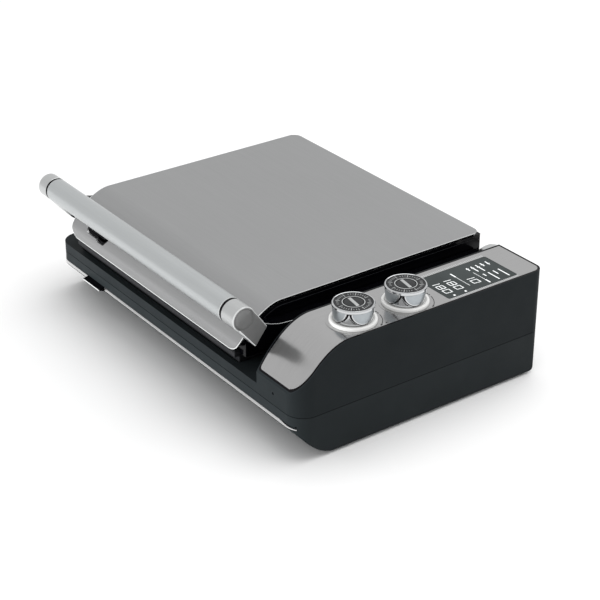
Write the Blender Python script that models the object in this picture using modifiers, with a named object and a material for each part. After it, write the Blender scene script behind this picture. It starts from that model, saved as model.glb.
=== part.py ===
"""Contact waffle maker with a hinged lid, side control block and floating hinge.

Frame: X to the right (control block side), Y to the back, Z up, origin on the table under the
middle of the bounding box. Lengths in the constants are millimetres; helpers turn them into metres.
"""
import math

import bmesh
import bpy
from mathutils import Matrix, Vector

MM = 0.001
GAP = 0.3                      # clearance left between touching pieces

# Overall
RIGHT = 225.7                  # outer face of the right wall
LEFT = -225.7                  # outer face of the left wall
FRONT = -157.5                 # plane of the front wall
BACK = FRONT + 300.0           # plane of the back wall
CORNER = 20.0                  # plan radius of the casing's front corners
BACK_CORNER = 11.0             # plan radius of the back corners
WALL = 2.6                     # moulding wall

# Base
FOOT_H = 2.0
HULL_BOTTOM = FOOT_H
SEAM = 49.5
DECK = 60.0                    # top of the rim round the lower plate
BOW_DEPTH = 52.0               # how far the front underside sweeps back
BOW_HEIGHT = 36.7
SIDE_TAPER = 2.0
STRIP = (35.8, 39.3)

# Control block
BLOCK_LEFT = RIGHT - 67.0
BLOCK_TOP = 118.3
BEND = ((0.0, 72.5), (14.0, 94.9), (36.0, BLOCK_TOP), (60.0, BLOCK_TOP))
PANEL_LEFT = RIGHT - 64.2
PANEL_RIGHT = RIGHT - 2.6
PANEL_BACK = BACK - 2.6
PANEL_BOTTOM = 76.5
PANEL_T = 1.2

# Knobs and display
KNOB_X = RIGHT - 27.0
KNOB_Y = (FRONT + 82.6, FRONT + 145.0)
KNOB_R = 20.5
BARREL_R = 18.8
GRIP_R = 20.0
GRIP_TURN = -5.0
KNOB_TOP = 138.5
RING_R = 23.0
DISPLAY = (RIGHT - 55.0, FRONT + 182.0, RIGHT - 6.2, FRONT + 270.0)

# Lid
LID_LEFT = RIGHT - 423.4
LID_RIGHT = RIGHT - 98.1
LID_FRONT = FRONT + 2.4
LID_BACK = FRONT + 302.8
LID_TOP = 119.6
LID_BOTTOM = 74.0
LID_BEND = ((0.0, 82.9), (2.6, 95.9), (28.6, LID_TOP), (48.6, LID_TOP))
COVER_T = 1.8
LID_BACK_R = 10.0
BODY_BACK_R = 3.2

# Plates
PLATE_LEFT = RIGHT - 413.0
PLATE_RIGHT = RIGHT - 109.0
PLATE_FRONT = FRONT + 9.0
PLATE_BACK = FRONT + 294.0
LOWER_TOP = 65.0
UPPER_BOTTOM = 65.8
BASIN = 10.0
STUD = 7.0
UPPER_LIP = 5.4                # how far the upper plate's rim stands forward of the lower one

# Handle and arms
HANDLE_Y = FRONT - 8.4
HANDLE_Z = 127.8
HANDLE_R = 12.6
HANDLE_RIGHT = RIGHT - 73.4
HANDLE_LEFT = RIGHT - 448.1
RIGHT_SEAM = RIGHT - 95.0      # middle of the dark ring between tube and end cap
LEFT_SEAM = RIGHT - 430.5
RIGHT_ARM = (RIGHT - 96.0, RIGHT - 81.0)
LEFT_ARM = (RIGHT - 440.5, RIGHT - 425.5)
HINGE_Y = FRONT + 310.0
HINGE_Z = 78.0
HUB_R = 26.0
FLOAT = 14.0                   # how far the hinge may rise
SHAFT_R = 4.0
TOWER_W = 6.0

# Drip tray
TRAY_LEFT = RIGHT - 435.0
TRAY_RIGHT = RIGHT - 105.0
TRAY_BOTTOM = 9.0
TRAY_TOP = 32.0
TRAY_BACK = FRONT + 258.0
LOWER_RELEASE_Y = FRONT + 60.0
INLET = ((RIGHT - 51.0, BACK - 18.0, 24.0), (RIGHT - 21.0, BACK + 3.0, 45.0))
TAB = (RIGHT - 388.0, RIGHT - 354.0)

COLORS = {
    "satin_metal": ((0.36, 0.36, 0.37), 0.38, 1.0),
    "handle_metal": ((0.55, 0.56, 0.56), 0.30, 1.0),
    "chrome": ((0.75, 0.75, 0.76), 0.10, 1.0),
    "steel": ((0.45, 0.45, 0.46), 0.35, 1.0),
    "charcoal": ((0.045, 0.053, 0.058), 0.45, 0.0),
    "black_gloss": ((0.004, 0.004, 0.006), 0.12, 0.0),
    "black_matte": ((0.012, 0.012, 0.013), 0.60, 0.0),
    "nonstick": ((0.02, 0.02, 0.022), 0.40, 0.2),
    "white_light": ((0.85, 0.85, 0.84), 0.35, 0.0),
    "display": ((0.06, 0.075, 0.075), 0.15, 0.0),
    "rubber": ((0.02, 0.02, 0.02), 0.85, 0.0),
    "board": ((0.02, 0.10, 0.05), 0.50, 0.0),
}


# ---------------------------------------------------------------- helpers

def clear_scene():
    for obj in list(bpy.data.objects):
        bpy.data.objects.remove(obj)


def new_collection(name):
    coll = bpy.data.collections.new(name)
    bpy.context.scene.collection.children.link(coll)
    return coll


def material(name):
    found = bpy.data.materials.get(name)
    if found:
        return found
    color, roughness, metallic = COLORS[name]
    mat = bpy.data.materials.new(name)
    mat.use_nodes = True
    shader = mat.node_tree.nodes["Principled BSDF"]
    shader.inputs["Base Color"].default_value = (*color, 1.0)
    shader.inputs["Roughness"].default_value = roughness
    shader.inputs["Metallic"].default_value = metallic
    mat.diffuse_color = (*color, 1.0)
    return mat


def link_mesh(name, bm, mat=None):
    """Make an object from a bmesh held in millimetres; without a material it is a cutter."""
    bmesh.ops.scale(bm, vec=(MM, MM, MM), verts=bm.verts)
    mesh = bpy.data.meshes.new(name)
    bm.to_mesh(mesh)
    bm.free()
    return link_object(name, mesh, mat)


def link_object(name, mesh, mat=None):
    obj = bpy.data.objects.new(name, mesh)
    if mat:
        PARTS.objects.link(obj)
        mesh.materials.append(material(mat))
        mesh.shade_smooth()
        mesh.set_sharp_from_angle(angle=math.radians(35))
    else:
        CUTTERS.objects.link(obj)
        obj.hide_render = True
        obj.display_type = "WIRE"
    return obj


def box(name, low, high, mat=None, bevel=0.0, segments=2):
    bm = bmesh.new()
    bmesh.ops.create_cube(bm, size=1.0)
    size = [high[i] - low[i] for i in range(3)]
    middle = [(high[i] + low[i]) / 2 for i in range(3)]
    bmesh.ops.scale(bm, vec=size, verts=bm.verts)
    bmesh.ops.translate(bm, vec=middle, verts=bm.verts)
    obj = link_mesh(name, bm, mat)
    if bevel:
        add_bevel(obj, bevel, segments)
    return obj


def add_bevel(obj, width, segments=2):
    mod = obj.modifiers.new("round", "BEVEL")
    mod.width = width * MM
    mod.segments = segments
    mod.limit_method = "ANGLE"
    mod.angle_limit = math.radians(40)
    return mod


def cylinder(name, start, end, radius, mat=None, segments=32, bevel=0.0):
    """A solid rod from start to end."""
    start, end = Vector(start), Vector(end)
    axis = end - start
    bm = bmesh.new()
    bmesh.ops.create_cone(bm, cap_ends=True, segments=segments, radius1=radius, radius2=radius,
                          depth=axis.length)
    turn = axis.to_track_quat("Z", "Y").to_matrix().to_4x4()
    bmesh.ops.transform(bm, matrix=Matrix.Translation((start + end) / 2) @ turn, verts=bm.verts)
    obj = link_mesh(name, bm, mat)
    if bevel:
        add_bevel(obj, bevel)
    return obj


def rounded(points, radii, steps=6):
    """Round the corners of a polygon: radii gives one radius for each corner."""
    out = []
    count = len(points)
    for i, (point, radius) in enumerate(zip(points, radii)):
        here = Vector(point)
        if radius <= 0:
            out.append(tuple(here))
            continue
        back = (Vector(points[i - 1]) - here).normalized()
        ahead = (Vector(points[(i + 1) % count]) - here).normalized()
        half = back.angle(ahead) / 2
        reach = radius / math.tan(half)
        centre = here + (back + ahead).normalized() * (radius / math.sin(half))
        first = here + back * reach - centre
        last = here + ahead * reach - centre
        sweep = first.angle_signed(last)
        for k in range(steps + 1):
            turn = Matrix.Rotation(-sweep * k / steps, 2)
            out.append(tuple(centre + turn @ first))
    return out


def rectangle(x0, y0, x1, y1, radius=0.0, steps=6):
    return rounded([(x0, y0), (x1, y0), (x1, y1), (x0, y1)], [radius] * 4, steps)


def prism(name, outline, plane, low, high, mat=None):
    """Extrude a flat outline. plane XY runs along Z, YZ along X and XZ along Y."""
    curve = bpy.data.curves.new(name, "CURVE")
    curve.dimensions = "2D"
    curve.fill_mode = "BOTH"
    curve.extrude = (high - low) / 2 * MM
    spline = curve.splines.new("POLY")
    spline.points.add(len(outline) - 1)
    for point, (u, v) in zip(spline.points, outline):
        point.co = (u * MM, v * MM, 0.0, 1.0)
    spline.use_cyclic_u = True
    guide = bpy.data.objects.new(name, curve)
    bpy.context.scene.collection.objects.link(guide)
    bpy.context.view_layer.update()
    mesh = bpy.data.meshes.new_from_object(guide.evaluated_get(bpy.context.evaluated_depsgraph_get()))
    bpy.data.objects.remove(guide)
    bpy.data.curves.remove(curve)
    turns = {"XY": Matrix.Identity(3),
             "YZ": Matrix(((0, 0, 1), (1, 0, 0), (0, 1, 0))),
             "XZ": Matrix(((1, 0, 0), (0, 0, -1), (0, 1, 0)))}
    along = {"XY": Vector((0, 0, 1)), "YZ": Vector((1, 0, 0)), "XZ": Vector((0, 1, 0))}[plane]
    bm = bmesh.new()
    bm.from_mesh(mesh)
    bpy.data.meshes.remove(mesh)
    bmesh.ops.remove_doubles(bm, verts=bm.verts, dist=1e-7)
    bmesh.ops.transform(bm, matrix=turns[plane].to_4x4(), verts=bm.verts)
    bmesh.ops.translate(bm, vec=along * ((low + high) / 2 * MM), verts=bm.verts)
    bmesh.ops.recalc_face_normals(bm, faces=bm.faces)
    bmesh.ops.scale(bm, vec=(1 / MM,) * 3, verts=bm.verts)
    return link_mesh(name, bm, mat)


def turned(name, profile, centre, mat=None, steps=48, direction="Z"):
    """Turn a profile of (radius, height) points, outer side top to bottom, about an axis."""
    bm = bmesh.new()
    verts = [bm.verts.new((r, 0.0, h)) for r, h in profile]
    for a, b in zip(verts, verts[1:]):
        bm.edges.new((a, b))
    if profile[0][0] > 0 or profile[-1][0] > 0:
        bm.edges.new((verts[-1], verts[0]))
    obj = link_mesh(name, bm, mat)
    mod = obj.modifiers.new("turn", "SCREW")
    mod.steps = steps
    mod.render_steps = steps
    mod.use_merge_vertices = True
    mod.merge_threshold = 0.00001
    obj.location = Vector(centre) * MM
    if direction == "X":
        obj.rotation_euler = (0.0, math.radians(90), 0.0)
    if direction == "-X":
        obj.rotation_euler = (0.0, math.radians(-90), 0.0)
    if direction == "Y":
        obj.rotation_euler = (math.radians(-90), 0.0, 0.0)
    return obj


def boolean(obj, other, operation):
    mod = obj.modifiers.new(operation.lower(), "BOOLEAN")
    mod.operation = operation
    mod.solver = "EXACT"
    mod.object = other
    return obj


def cut(obj, *cutters):
    for cutter in cutters:
        boolean(obj, cutter, "DIFFERENCE")
    return obj


def common(obj, *others):
    for other in others:
        boolean(obj, other, "INTERSECT")
    return obj


def join(obj, *others):
    for other in others:
        boolean(obj, other, "UNION")
    return obj


def bezier(control, steps):
    a, b, c, d = (Vector(p) for p in control)
    out = []
    for k in range(steps + 1):
        t = k / steps
        s = 1 - t
        out.append(tuple(a * s ** 3 + b * (3 * s * s * t) + c * (3 * s * t * t) + d * t ** 3))
    return out


def shifted(path, distance):
    """Offset an open path to its right-hand side by a distance."""
    out = []
    last = len(path) - 1
    for i, point in enumerate(path):
        before = Vector(path[max(i - 1, 0)])
        after = Vector(path[min(i + 1, last)])
        run = (after - before).normalized()
        out.append((point[0] + run.y * distance, point[1] - run.x * distance))
    return out


def band(path, inner, outer):
    """Closed outline of the strip between two offsets of a path."""
    return shifted(path, -outer) + shifted(path, inner)[::-1]


def empty(name, position, parent=None):
    obj = bpy.data.objects.new(name, None)
    PARTS.objects.link(obj)
    obj.location = Vector(position) * MM
    if parent:
        hang(obj, parent)
    return obj


def hang(obj, parent):
    """Parent an object and keep its place."""
    obj.parent = parent
    obj.matrix_parent_inverse = Matrix.Translation(-parent.location)


# ---------------------------------------------------------------- outlines

def plan_outline(inset=0.0):
    corners = [(LEFT + inset, FRONT + inset), (RIGHT - inset, FRONT + inset), (RIGHT - inset, BACK - inset),
               (LEFT + inset, BACK - inset)]
    front, back = CORNER - inset, BACK_CORNER - inset
    return rounded(corners, [front, front, back, back], 8)


def block_path(start=SEAM):
    """Front and top of the control block, seen from the side, from the seam to the back."""
    rise = [(FRONT + y, z) for y, z in bezier(BEND, 12)]
    return [(FRONT, start)] + rise + [(BACK, BLOCK_TOP)]


def lid_path(bottom=LID_BOTTOM, back=LID_BACK):
    rise = [(LID_FRONT + y, z) for y, z in bezier(LID_BEND, 12)]
    return [(LID_FRONT, bottom)] + rise + [(back, LID_TOP)]


def bow_path(lift=0.0, steps=8):
    """Front underside of the hull: from the flat bottom up to the strip."""
    out = []
    for k in range(steps + 1):
        u = k / steps
        height = HULL_BOTTOM + (BOW_HEIGHT - HULL_BOTTOM) * u ** 2.2
        out.append((FRONT + lift + BOW_DEPTH * (1 - u), height + lift))
    return out


def hull_side_outline(inset=0.0, top=SEAM - GAP):
    front = FRONT + inset
    return ([(BACK - inset, top), (front, top)] + bow_path(inset)[::-1]
            + [(BACK - inset - 8.0, HULL_BOTTOM + inset), (BACK - inset, HULL_BOTTOM + inset + 10.0)])


def hull_front_outline(inset=0.0, top=SEAM):
    low = HULL_BOTTOM + inset
    left, right = LEFT + inset, RIGHT - inset
    points = [(left, top), (left + SIDE_TAPER, low), (right - SIDE_TAPER, low), (right, top)]
    return rounded(points, [0, 3.0, 3.0, 0], 4)


def hull(name, inset=0.0, top=SEAM - GAP, mat=None):
    body = prism(name, hull_side_outline(inset, top), "YZ", LEFT - 1, RIGHT + 1, mat)
    sides = prism(name + "_sides", hull_front_outline(inset), "XZ", FRONT - 5, BACK + 5)
    plan = prism(name + "_plan", plan_outline(inset), "XY", -5, top + 5)
    return common(body, sides, plan)


# ---------------------------------------------------------------- base

def lower_casing():
    """Hull with a flat bottom, a swept-up front underside and a slot for the drip tray."""
    shell = hull("lower_casing", 0.0, SEAM - GAP, "charcoal")
    room = box("hull_room", (LEFT + 9, FRONT + BOW_DEPTH + 6, HULL_BOTTOM + 3), (RIGHT - 9, BACK - 4, SEAM + 5))
    nose_room = box("hull_nose_room", (LEFT + 9, FRONT + 4, BOW_HEIGHT + 1), (RIGHT - 9, FRONT + 62, SEAM + 5))
    slot = box("tray_slot", (TRAY_LEFT - 1, FRONT - 5, TRAY_BOTTOM - GAP),
               (TRAY_RIGHT + 1, FRONT + 62, TRAY_TOP + GAP))
    tab_slot = box("tab_slot", (TAB[0] - 0.6, FRONT - 5, TRAY_TOP - 2), (TAB[1] + 0.6, FRONT + 16, STRIP[0]))
    lip_slot = box("lip_slot", (TAB[0] - 0.6, FRONT - 5, TRAY_TOP - 2), (TAB[1] + 0.6, FRONT + 3.4, STRIP[1] + 0.6))
    groove = strip_ring("strip_groove", 1.5, -2.0, STRIP[0] - GAP, STRIP[1] + GAP)
    vent_cutters = [
        box(f"vent_{i}", (LEFT + 150 + 18 * i, FRONT + 120, -1), (LEFT + 156 + 18 * i, FRONT + 190, 8))
        for i in range(6)
    ]
    low, high = INLET
    inlet_hole = box("inlet_hole", (low[0] - GAP, BACK - 12, low[2] - GAP), (high[0] + GAP, BACK + 9, high[2] + GAP))
    return cut(shell, room, nose_room, slot, tab_slot, lip_slot, groove, inlet_hole, *vent_cutters)


def strip_ring(name, inner, outer, low, high, mat=None):
    """Band round the front and the left front corner of the casing."""
    outer_plan = prism(name, plan_outline(outer), "XY", low, high, mat)
    inner_plan = prism(name + "_core", plan_outline(inner), "XY", low - 1, high + 1)
    reach = box(name + "_reach", (LEFT - 5, FRONT - 5, low - 2), (RIGHT - 8, FRONT + 13, high + 2))
    return common(cut(outer_plan, inner_plan), reach)


def trim_strip(name, x0, x1):
    """Bright strip round the casing front, one length on each side of the tray's tab."""
    strip = strip_ring(name, 1.2, -0.4, STRIP[0], STRIP[1], "handle_metal")
    return common(strip, box(name + "_length", (x0, FRONT - 5, 30), (x1, FRONT + 30, 45)))


def upper_casing():
    """Rim and deck round the lower plate, and the hollow control block, as one moulding."""
    rim = prism("upper_casing", plan_outline(), "XY", SEAM, DECK, "charcoal")
    block_side = block_path() + [(BACK, SEAM)]
    block = prism("block_body", block_side, "YZ", BLOCK_LEFT, RIGHT + 1)
    plan = prism("block_plan", plan_outline(), "XY", 0, 130)
    common(block, plan)
    join(rim, block)
    under_deck = box("deck_room", (LEFT + WALL, FRONT + WALL + 1, SEAM - 5),
                     (BLOCK_LEFT - 1, BACK - WALL, DECK - WALL))
    round_room = prism("deck_room_plan", plan_outline(WALL), "XY", 0, 130)
    common(under_deck, round_room)
    inner_path = shifted(block_path(), 3.6)
    inner_side = [(y, z) for y, z in inner_path if y < BACK - WALL - 2]
    inner_side = [(inner_side[0][0], SEAM - 5)] + inner_side
    inner_side += [(BACK - WALL, BLOCK_TOP - 3.6), (BACK - WALL, SEAM - 5)]
    block_room = prism("block_room", inner_side, "YZ", BLOCK_LEFT + WALL, RIGHT - WALL)
    common(block_room, round_room)
    well = prism("plate_well",
                 rectangle(PLATE_LEFT - 1.5, PLATE_FRONT - 1.5, PLATE_RIGHT + 1.5, PLATE_BACK + 1.5, 4.0),
                 "XY", SEAM - 5, DECK + 5)
    pocket = cylinder("hinge_pocket", (LEFT - 5, HINGE_Y, HINGE_Z), (BLOCK_LEFT, HINGE_Y, HINGE_Z),
                      HUB_R + 1.6, segments=64)
    recess = panel_solid("panel_recess", PANEL_T + GAP, 4.0, GAP)
    window_hole = box("module_hole", (DISPLAY[0] + 2, DISPLAY[1] + 2, 100), (DISPLAY[2] - 2, DISPLAY[3] - 2, 130))
    shaft_holes = [cylinder(f"casing_shaft_hole_{i}", (KNOB_X, y, 100), (KNOB_X, y, 130), 4.6)
                   for i, y in enumerate(KNOB_Y)]
    release_hole = box("lower_release_hole", (LEFT - 5, LOWER_RELEASE_Y - 13, 51.8),
                       (LEFT + 5, LOWER_RELEASE_Y + 13, 56.6))
    reset_hole = cylinder("reset_hole", (RIGHT - 40.4, FRONT - 5, 61.5), (RIGHT - 40.4, FRONT + 6, 61.5), 1.4,
                          segments=16)
    return cut(rim, under_deck, block_room, well, pocket, recess, window_hole, *shaft_holes, release_hole,
               reset_hole)


def lower_release():
    """Press button in the left wall that frees the lower plate."""
    return box("lower_plate_release", (LEFT + 0.6, LOWER_RELEASE_Y - 12.6, 52.2),
               (LEFT + 9, LOWER_RELEASE_Y + 12.6, 56.2), "black_matte", 0.6)


def panel_solid(name, depth, proud, grow, mat=None):
    """Sheet that follows the block's front and top, cut to the panel's outline seen from above."""
    path = [(FRONT, PANEL_BOTTOM - 8.0)] + block_path()[1:]
    sheet = prism(name, band(path, depth, proud), "YZ", PANEL_LEFT - grow, RIGHT + 4, mat)
    right = PANEL_RIGHT + grow
    corner = CORNER - (RIGHT - right)
    bend = [(RIGHT - CORNER + corner * math.cos(a), FRONT + CORNER - corner * math.sin(a))
            for a in (math.radians(80 - 8 * k) for k in range(11))]
    outline = [(PANEL_LEFT - grow, FRONT - 6), (bend[0][0], FRONT - 6)] + bend
    back = PANEL_BACK + grow
    back_corner = BACK_CORNER - (RIGHT - right)
    outline += rounded([(right, FRONT + 60), (right, back), (PANEL_LEFT - grow, back)], [0, back_corner, 0], 8)[1:]
    plan = prism(name + "_plan", outline, "XY", 0, 140)
    lower_edge = prism(name + "_lower_edge",
                       rounded([(PANEL_LEFT - grow, PANEL_BOTTOM - grow), (RIGHT + 9, PANEL_BOTTOM - grow),
                                (RIGHT + 9, 140), (PANEL_LEFT - grow, 140)], [3.0, 0, 0, 0]),
                       "XZ", FRONT - 8, BACK + 8)
    return common(sheet, plan, lower_edge)


def control_panel():
    panel = panel_solid("control_panel", PANEL_T, 0.15, 0.0, "satin_metal")
    window = prism("window_hole", rectangle(*DISPLAY, 2.5), "XY", 100, 130)
    holes = [cylinder(f"panel_shaft_hole_{i}", (KNOB_X, y, 100), (KNOB_X, y, 130), 4.6)
             for i, y in enumerate(KNOB_Y)]
    return cut(panel, window, *holes)


def display_window():
    x0, y0, x1, y1 = DISPLAY
    outline = rectangle(x0 + GAP, y0 + GAP, x1 - GAP, y1 - GAP, 2.2)
    return prism("display_window", outline, "XY", BLOCK_TOP - PANEL_T + 0.1, BLOCK_TOP + 0.25, "display")


def display_module():
    x0, y0, x1, y1 = DISPLAY
    return box("display_module", (x0 + 3, y0 + 3, BLOCK_TOP - 8), (x1 - 3, y1 - 3, BLOCK_TOP - PANEL_T - 0.4),
               "black_matte", 0.5)


def control_board():
    return box("control_board", (BLOCK_LEFT + 6, FRONT + 66, 92.0), (RIGHT - 6, FRONT + 280, 93.6), "board")


def power_board():
    return box("power_board", (BLOCK_LEFT + 6, FRONT + 60, 56.0), (RIGHT - 6, FRONT + 250, 57.6), "board")


def encoder(name, y):
    body = box(name, (KNOB_X - 6.5, y - 6.5, 94.0), (KNOB_X + 6.5, y + 6.5, 113.6), "steel")
    bush = cylinder(name + "_bush", (KNOB_X, y, 112), (KNOB_X, y, 120.2), 4.2, segments=24)
    shaft = cylinder(name + "_shaft", (KNOB_X, y, 112), (KNOB_X, y, 129.0), 3.0, segments=24)
    return join(body, bush, shaft)


def light_ring(name, y):
    low, high = BLOCK_TOP + 0.15 + GAP, BLOCK_TOP + 3.6
    profile = [(RING_R - 1.0, high), (RING_R, high - 1.0), (RING_R, low), (5.0, low), (5.0, high - 1.2),
               (RING_R - 6.0, high - 1.2), (RING_R - 5.0, high)]
    return turned(name, profile, (KNOB_X, y, 0), "white_light", 40)


def spun(obj, x, y, angle):
    """Turn an object's mesh about an upright axis."""
    axis = Matrix.Translation((x * MM, y * MM, 0))
    obj.data.transform(axis @ Matrix.Rotation(angle, 4, "Z") @ axis.inverted())
    return obj


def knob(name, y):
    """Metal knob: a barrel under a wider rim with four U-shaped grips, hollow over the encoder shaft."""
    low, top = BLOCK_TOP + 3.9, KNOB_TOP
    profile = [(0.0, top - 4.6), (18.9, top - 4.6), (18.9, top - 0.2), (20.1, top - 0.4), (KNOB_R, top - 1.2),
               (KNOB_R, top - 3.0), (GRIP_R, top - 3.6), (GRIP_R - 0.4, low + 0.6), (GRIP_R - 1.0, low),
               (3.4, low), (3.4, 129.4), (0.0, 129.4)]
    body = turned(name, profile, (KNOB_X, y, 0), "chrome", 48)
    outline = [(KNOB_X + 12.2 * math.cos(math.pi * k / 14), top - 3.2 - 11.9 * math.sin(math.pi * k / 14))
               for k in range(15)]
    grips = []
    for k in range(4):
        grip = prism(f"{name}_grip_{k}", outline, "XZ", y + 12.0, y + 26.0)
        grips.append(spun(grip, KNOB_X, y, math.radians(GRIP_TURN + 90 * k)))
    waste = turned(name + "_waste", [(24.0, top - 4.0), (24.0, low - 2), (BARREL_R, low - 2),
                                     (BARREL_R, top - 4.0)], (KNOB_X, y, 0), steps=60)
    return cut(body, cut(waste, *grips))


def knob_dial(name, y):
    top = KNOB_TOP
    profile = [(18.0, top - 0.15), (18.6, top - 0.5), (18.6, top - 4.3), (9.9, top - 4.3), (9.9, top - 0.15)]
    return turned(name, profile, (KNOB_X, y, 0), "black_gloss", 48)


def knob_button(name, y):
    top = KNOB_TOP
    profile = [(0.0, top), (8.8, top), (9.5, top - 0.5), (9.5, top - 3.2), (0.0, top - 3.2)]
    return turned(name, profile, (KNOB_X, y, 0), "black_gloss", 40)


def foot(name, x, y):
    profile = [(0.0, HULL_BOTTOM - 0.1), (9.0, HULL_BOTTOM - 0.1), (10.0, HULL_BOTTOM - 0.6), (9.2, 0.0),
               (0.0, 0.0)]
    return turned(name, profile, (x, y, 0), "rubber", 24)


def drip_tray():
    """Pan whose front carries on the hull's underside, with a pull tab under the trim strip."""
    front = hull("drip_tray", 0.0, SEAM - GAP, "black_matte")
    block = box("tray_block", (TRAY_LEFT, FRONT - 6, TRAY_BOTTOM), (TRAY_RIGHT, FRONT + 60, TRAY_TOP))
    common(front, block)
    pan = box("tray_pan", (TRAY_LEFT, FRONT + 50, TRAY_BOTTOM), (TRAY_RIGHT, TRAY_BACK, TRAY_TOP - 8))
    room_front = box("tray_room_front", (TRAY_LEFT + 2.5, FRONT + 34, TRAY_BOTTOM + 2.5),
                     (TRAY_RIGHT - 2.5, TRAY_BACK - 2.5, TRAY_TOP + 5))
    tab = prism("tray_tab",
                rounded([(FRONT + 14, TRAY_TOP - 5), (FRONT + 14, TRAY_TOP), (FRONT + 2.9, TRAY_TOP + 3.4),
                         (FRONT + 2.9, STRIP[1] + 0.3), (FRONT - 0.4, STRIP[1] + 0.3),
                         (FRONT - 6.5, STRIP[1] - 1.0), (FRONT - 6.5, STRIP[1] - 2.8),
                         (FRONT + 1.2, TRAY_TOP + 1.6)],
                        [0, 0, 0, 0, 0, 0.8, 0.4, 0], 3),
                "YZ", *TAB)
    join(front, pan)
    cut(front, room_front)
    return join(front, tab)


def waffle_plate(name, face, back, up, lip=0.0):
    """Cast plate: rim at height face, basin with rows of studs, closed at height back."""
    sign = 1.0 if up else -1.0
    columns, rows = 11, 10
    floor_z = face - sign * BASIN
    middle = ((PLATE_LEFT + PLATE_RIGHT) / 2, (PLATE_FRONT + PLATE_BACK) / 2)
    width, depth = PLATE_RIGHT - PLATE_LEFT, PLATE_BACK - PLATE_FRONT
    floor_w, floor_d = width - 44.0, depth - 44.0
    bm = bmesh.new()
    bmesh.ops.create_grid(bm, x_segments=columns, y_segments=rows, size=0.5)
    bmesh.ops.scale(bm, vec=(floor_w, floor_d, 1.0), verts=bm.verts)
    cells = list(bm.faces)
    bmesh.ops.inset_individual(bm, faces=cells, thickness=2.6, depth=0.0)
    bmesh.ops.inset_individual(bm, faces=cells, thickness=1.6, depth=STUD)
    under = BASIN - abs(face - back)
    rings = [(width - 34.0, depth - 34.0, BASIN, 0.0), (width - 2.0, depth - 2.0, BASIN, lip),
             (width, depth, BASIN - 1.0, lip), (width, depth, BASIN - 5.5, lip),
             (width - 3.0, depth - 3.0, BASIN - 7.0, lip), (width - 12.0, depth - 12.0, BASIN - 7.0, 0.0),
             (width - 16.0, depth - 16.0, under, 0.0)]
    size = (floor_w, floor_d)
    pushed = 0.0
    for ring_w, ring_d, height, push in rings:
        edges = [e for e in bm.edges if e.is_boundary]
        made = bmesh.ops.extrude_edge_only(bm, edges=edges)["geom"]
        for vert in [v for v in made if isinstance(v, bmesh.types.BMVert)]:
            if pushed and vert.co.y < -size[1] / 2 - 1.0:
                vert.co.y += pushed
            vert.co.x *= ring_w / size[0]
            vert.co.y *= ring_d / size[1]
            if push and vert.co.y < -ring_d / 2 + 1.0:
                vert.co.y -= push
            vert.co.z = height
        size = (ring_w, ring_d)
        pushed = push
    bmesh.ops.holes_fill(bm, edges=[e for e in bm.edges if e.is_boundary], sides=0)
    for vert in bm.verts:
        vert.co.z = floor_z + sign * vert.co.z
    bmesh.ops.translate(bm, vec=(*middle, 0.0), verts=bm.verts)
    bmesh.ops.recalc_face_normals(bm, faces=bm.faces)
    return link_mesh(name, bm, "nonstick")


def element(name, z):
    """Tubular heater bent in an M under its plate, its two ends side by side at the right."""
    left, right = PLATE_LEFT + 45, PLATE_RIGHT - 40
    front, back = PLATE_FRONT + 45, PLATE_BACK - 45
    third = (back - front) / 3
    route = [(right + 8, front), (left, front), (left, front + third), (right - 30, front + third),
             (right - 30, front + 2 * third), (left, front + 2 * third), (left, back), (right + 8, back)]
    radii = [0] + [third / 2 - 1] * 6 + [0]
    path = rounded(route, radii, 6)
    curve = bpy.data.curves.new(name, "CURVE")
    curve.dimensions = "3D"
    curve.bevel_depth = 3.2 * MM
    curve.bevel_resolution = 1
    curve.use_fill_caps = True
    spline = curve.splines.new("POLY")
    spline.points.add(len(path) - 1)
    for point, (x, y) in zip(spline.points, path):
        point.co = (x * MM, y * MM, z * MM, 1.0)
    obj = bpy.data.objects.new(name, curve)
    PARTS.objects.link(obj)
    curve.materials.append(material("steel"))
    return obj


def reflector(name, low, high, open_up):
    """Thin metal pan behind a heater."""
    inset = 14.0
    x0, x1 = PLATE_LEFT + inset, PLATE_RIGHT - inset
    y0, y1 = PLATE_FRONT + inset, PLATE_BACK - inset
    pan = box(name, (x0, y0, low), (x1, y1, high), "steel")
    if open_up:
        room = box(name + "_room", (x0 + 1, y0 + 1, low + 1), (x1 - 1, y1 - 1, high + 5))
    else:
        room = box(name + "_room", (x0 + 1, y0 + 1, low - 5), (x1 - 1, y1 - 1, high - 1))
    return cut(pan, room)


def hinge_tower(name, side):
    """Upright plate behind the base with a slot that the hinge shaft floats in."""
    if side > 0:
        x0, x1 = RIGHT - 78.6, RIGHT - 72.6
        foot_x = (x0 - 24, x1)
    else:
        x0, x1 = LEFT + 2.2, LEFT + 8.2
        foot_x = (x0, x1 + 24)
    top = HINGE_Z + FLOAT + 10
    side_view = rounded([(BACK + GAP, 14), (BACK + 14, 14), (HINGE_Y + 11, 40), (HINGE_Y + 11, top),
                         (HINGE_Y - 9.7, top), (HINGE_Y - 9.7, 40)], [0, 3, 8, 9, 8, 0], 5)
    side_view = [(max(y, BACK + GAP), z) for y, z in side_view]
    plate = prism(name, side_view, "YZ", x0, x1, "steel")
    flange = box(name + "_flange", (foot_x[0], BACK + GAP, 14), (foot_x[1], BACK + 3.3, 46))
    slot = prism(name + "_slot",
                 rounded([(HINGE_Y - SHAFT_R - 0.25, HINGE_Z - SHAFT_R - 0.25),
                          (HINGE_Y + SHAFT_R + 0.25, HINGE_Z - SHAFT_R - 0.25),
                          (HINGE_Y + SHAFT_R + 0.25, HINGE_Z + FLOAT + SHAFT_R + 0.4),
                          (HINGE_Y - SHAFT_R - 0.25, HINGE_Z + FLOAT + SHAFT_R + 0.4)], [4.2] * 4, 8),
                 "YZ", x0 - 5, x1 + 5)
    return cut(join(plate, flange), slot)


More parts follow.
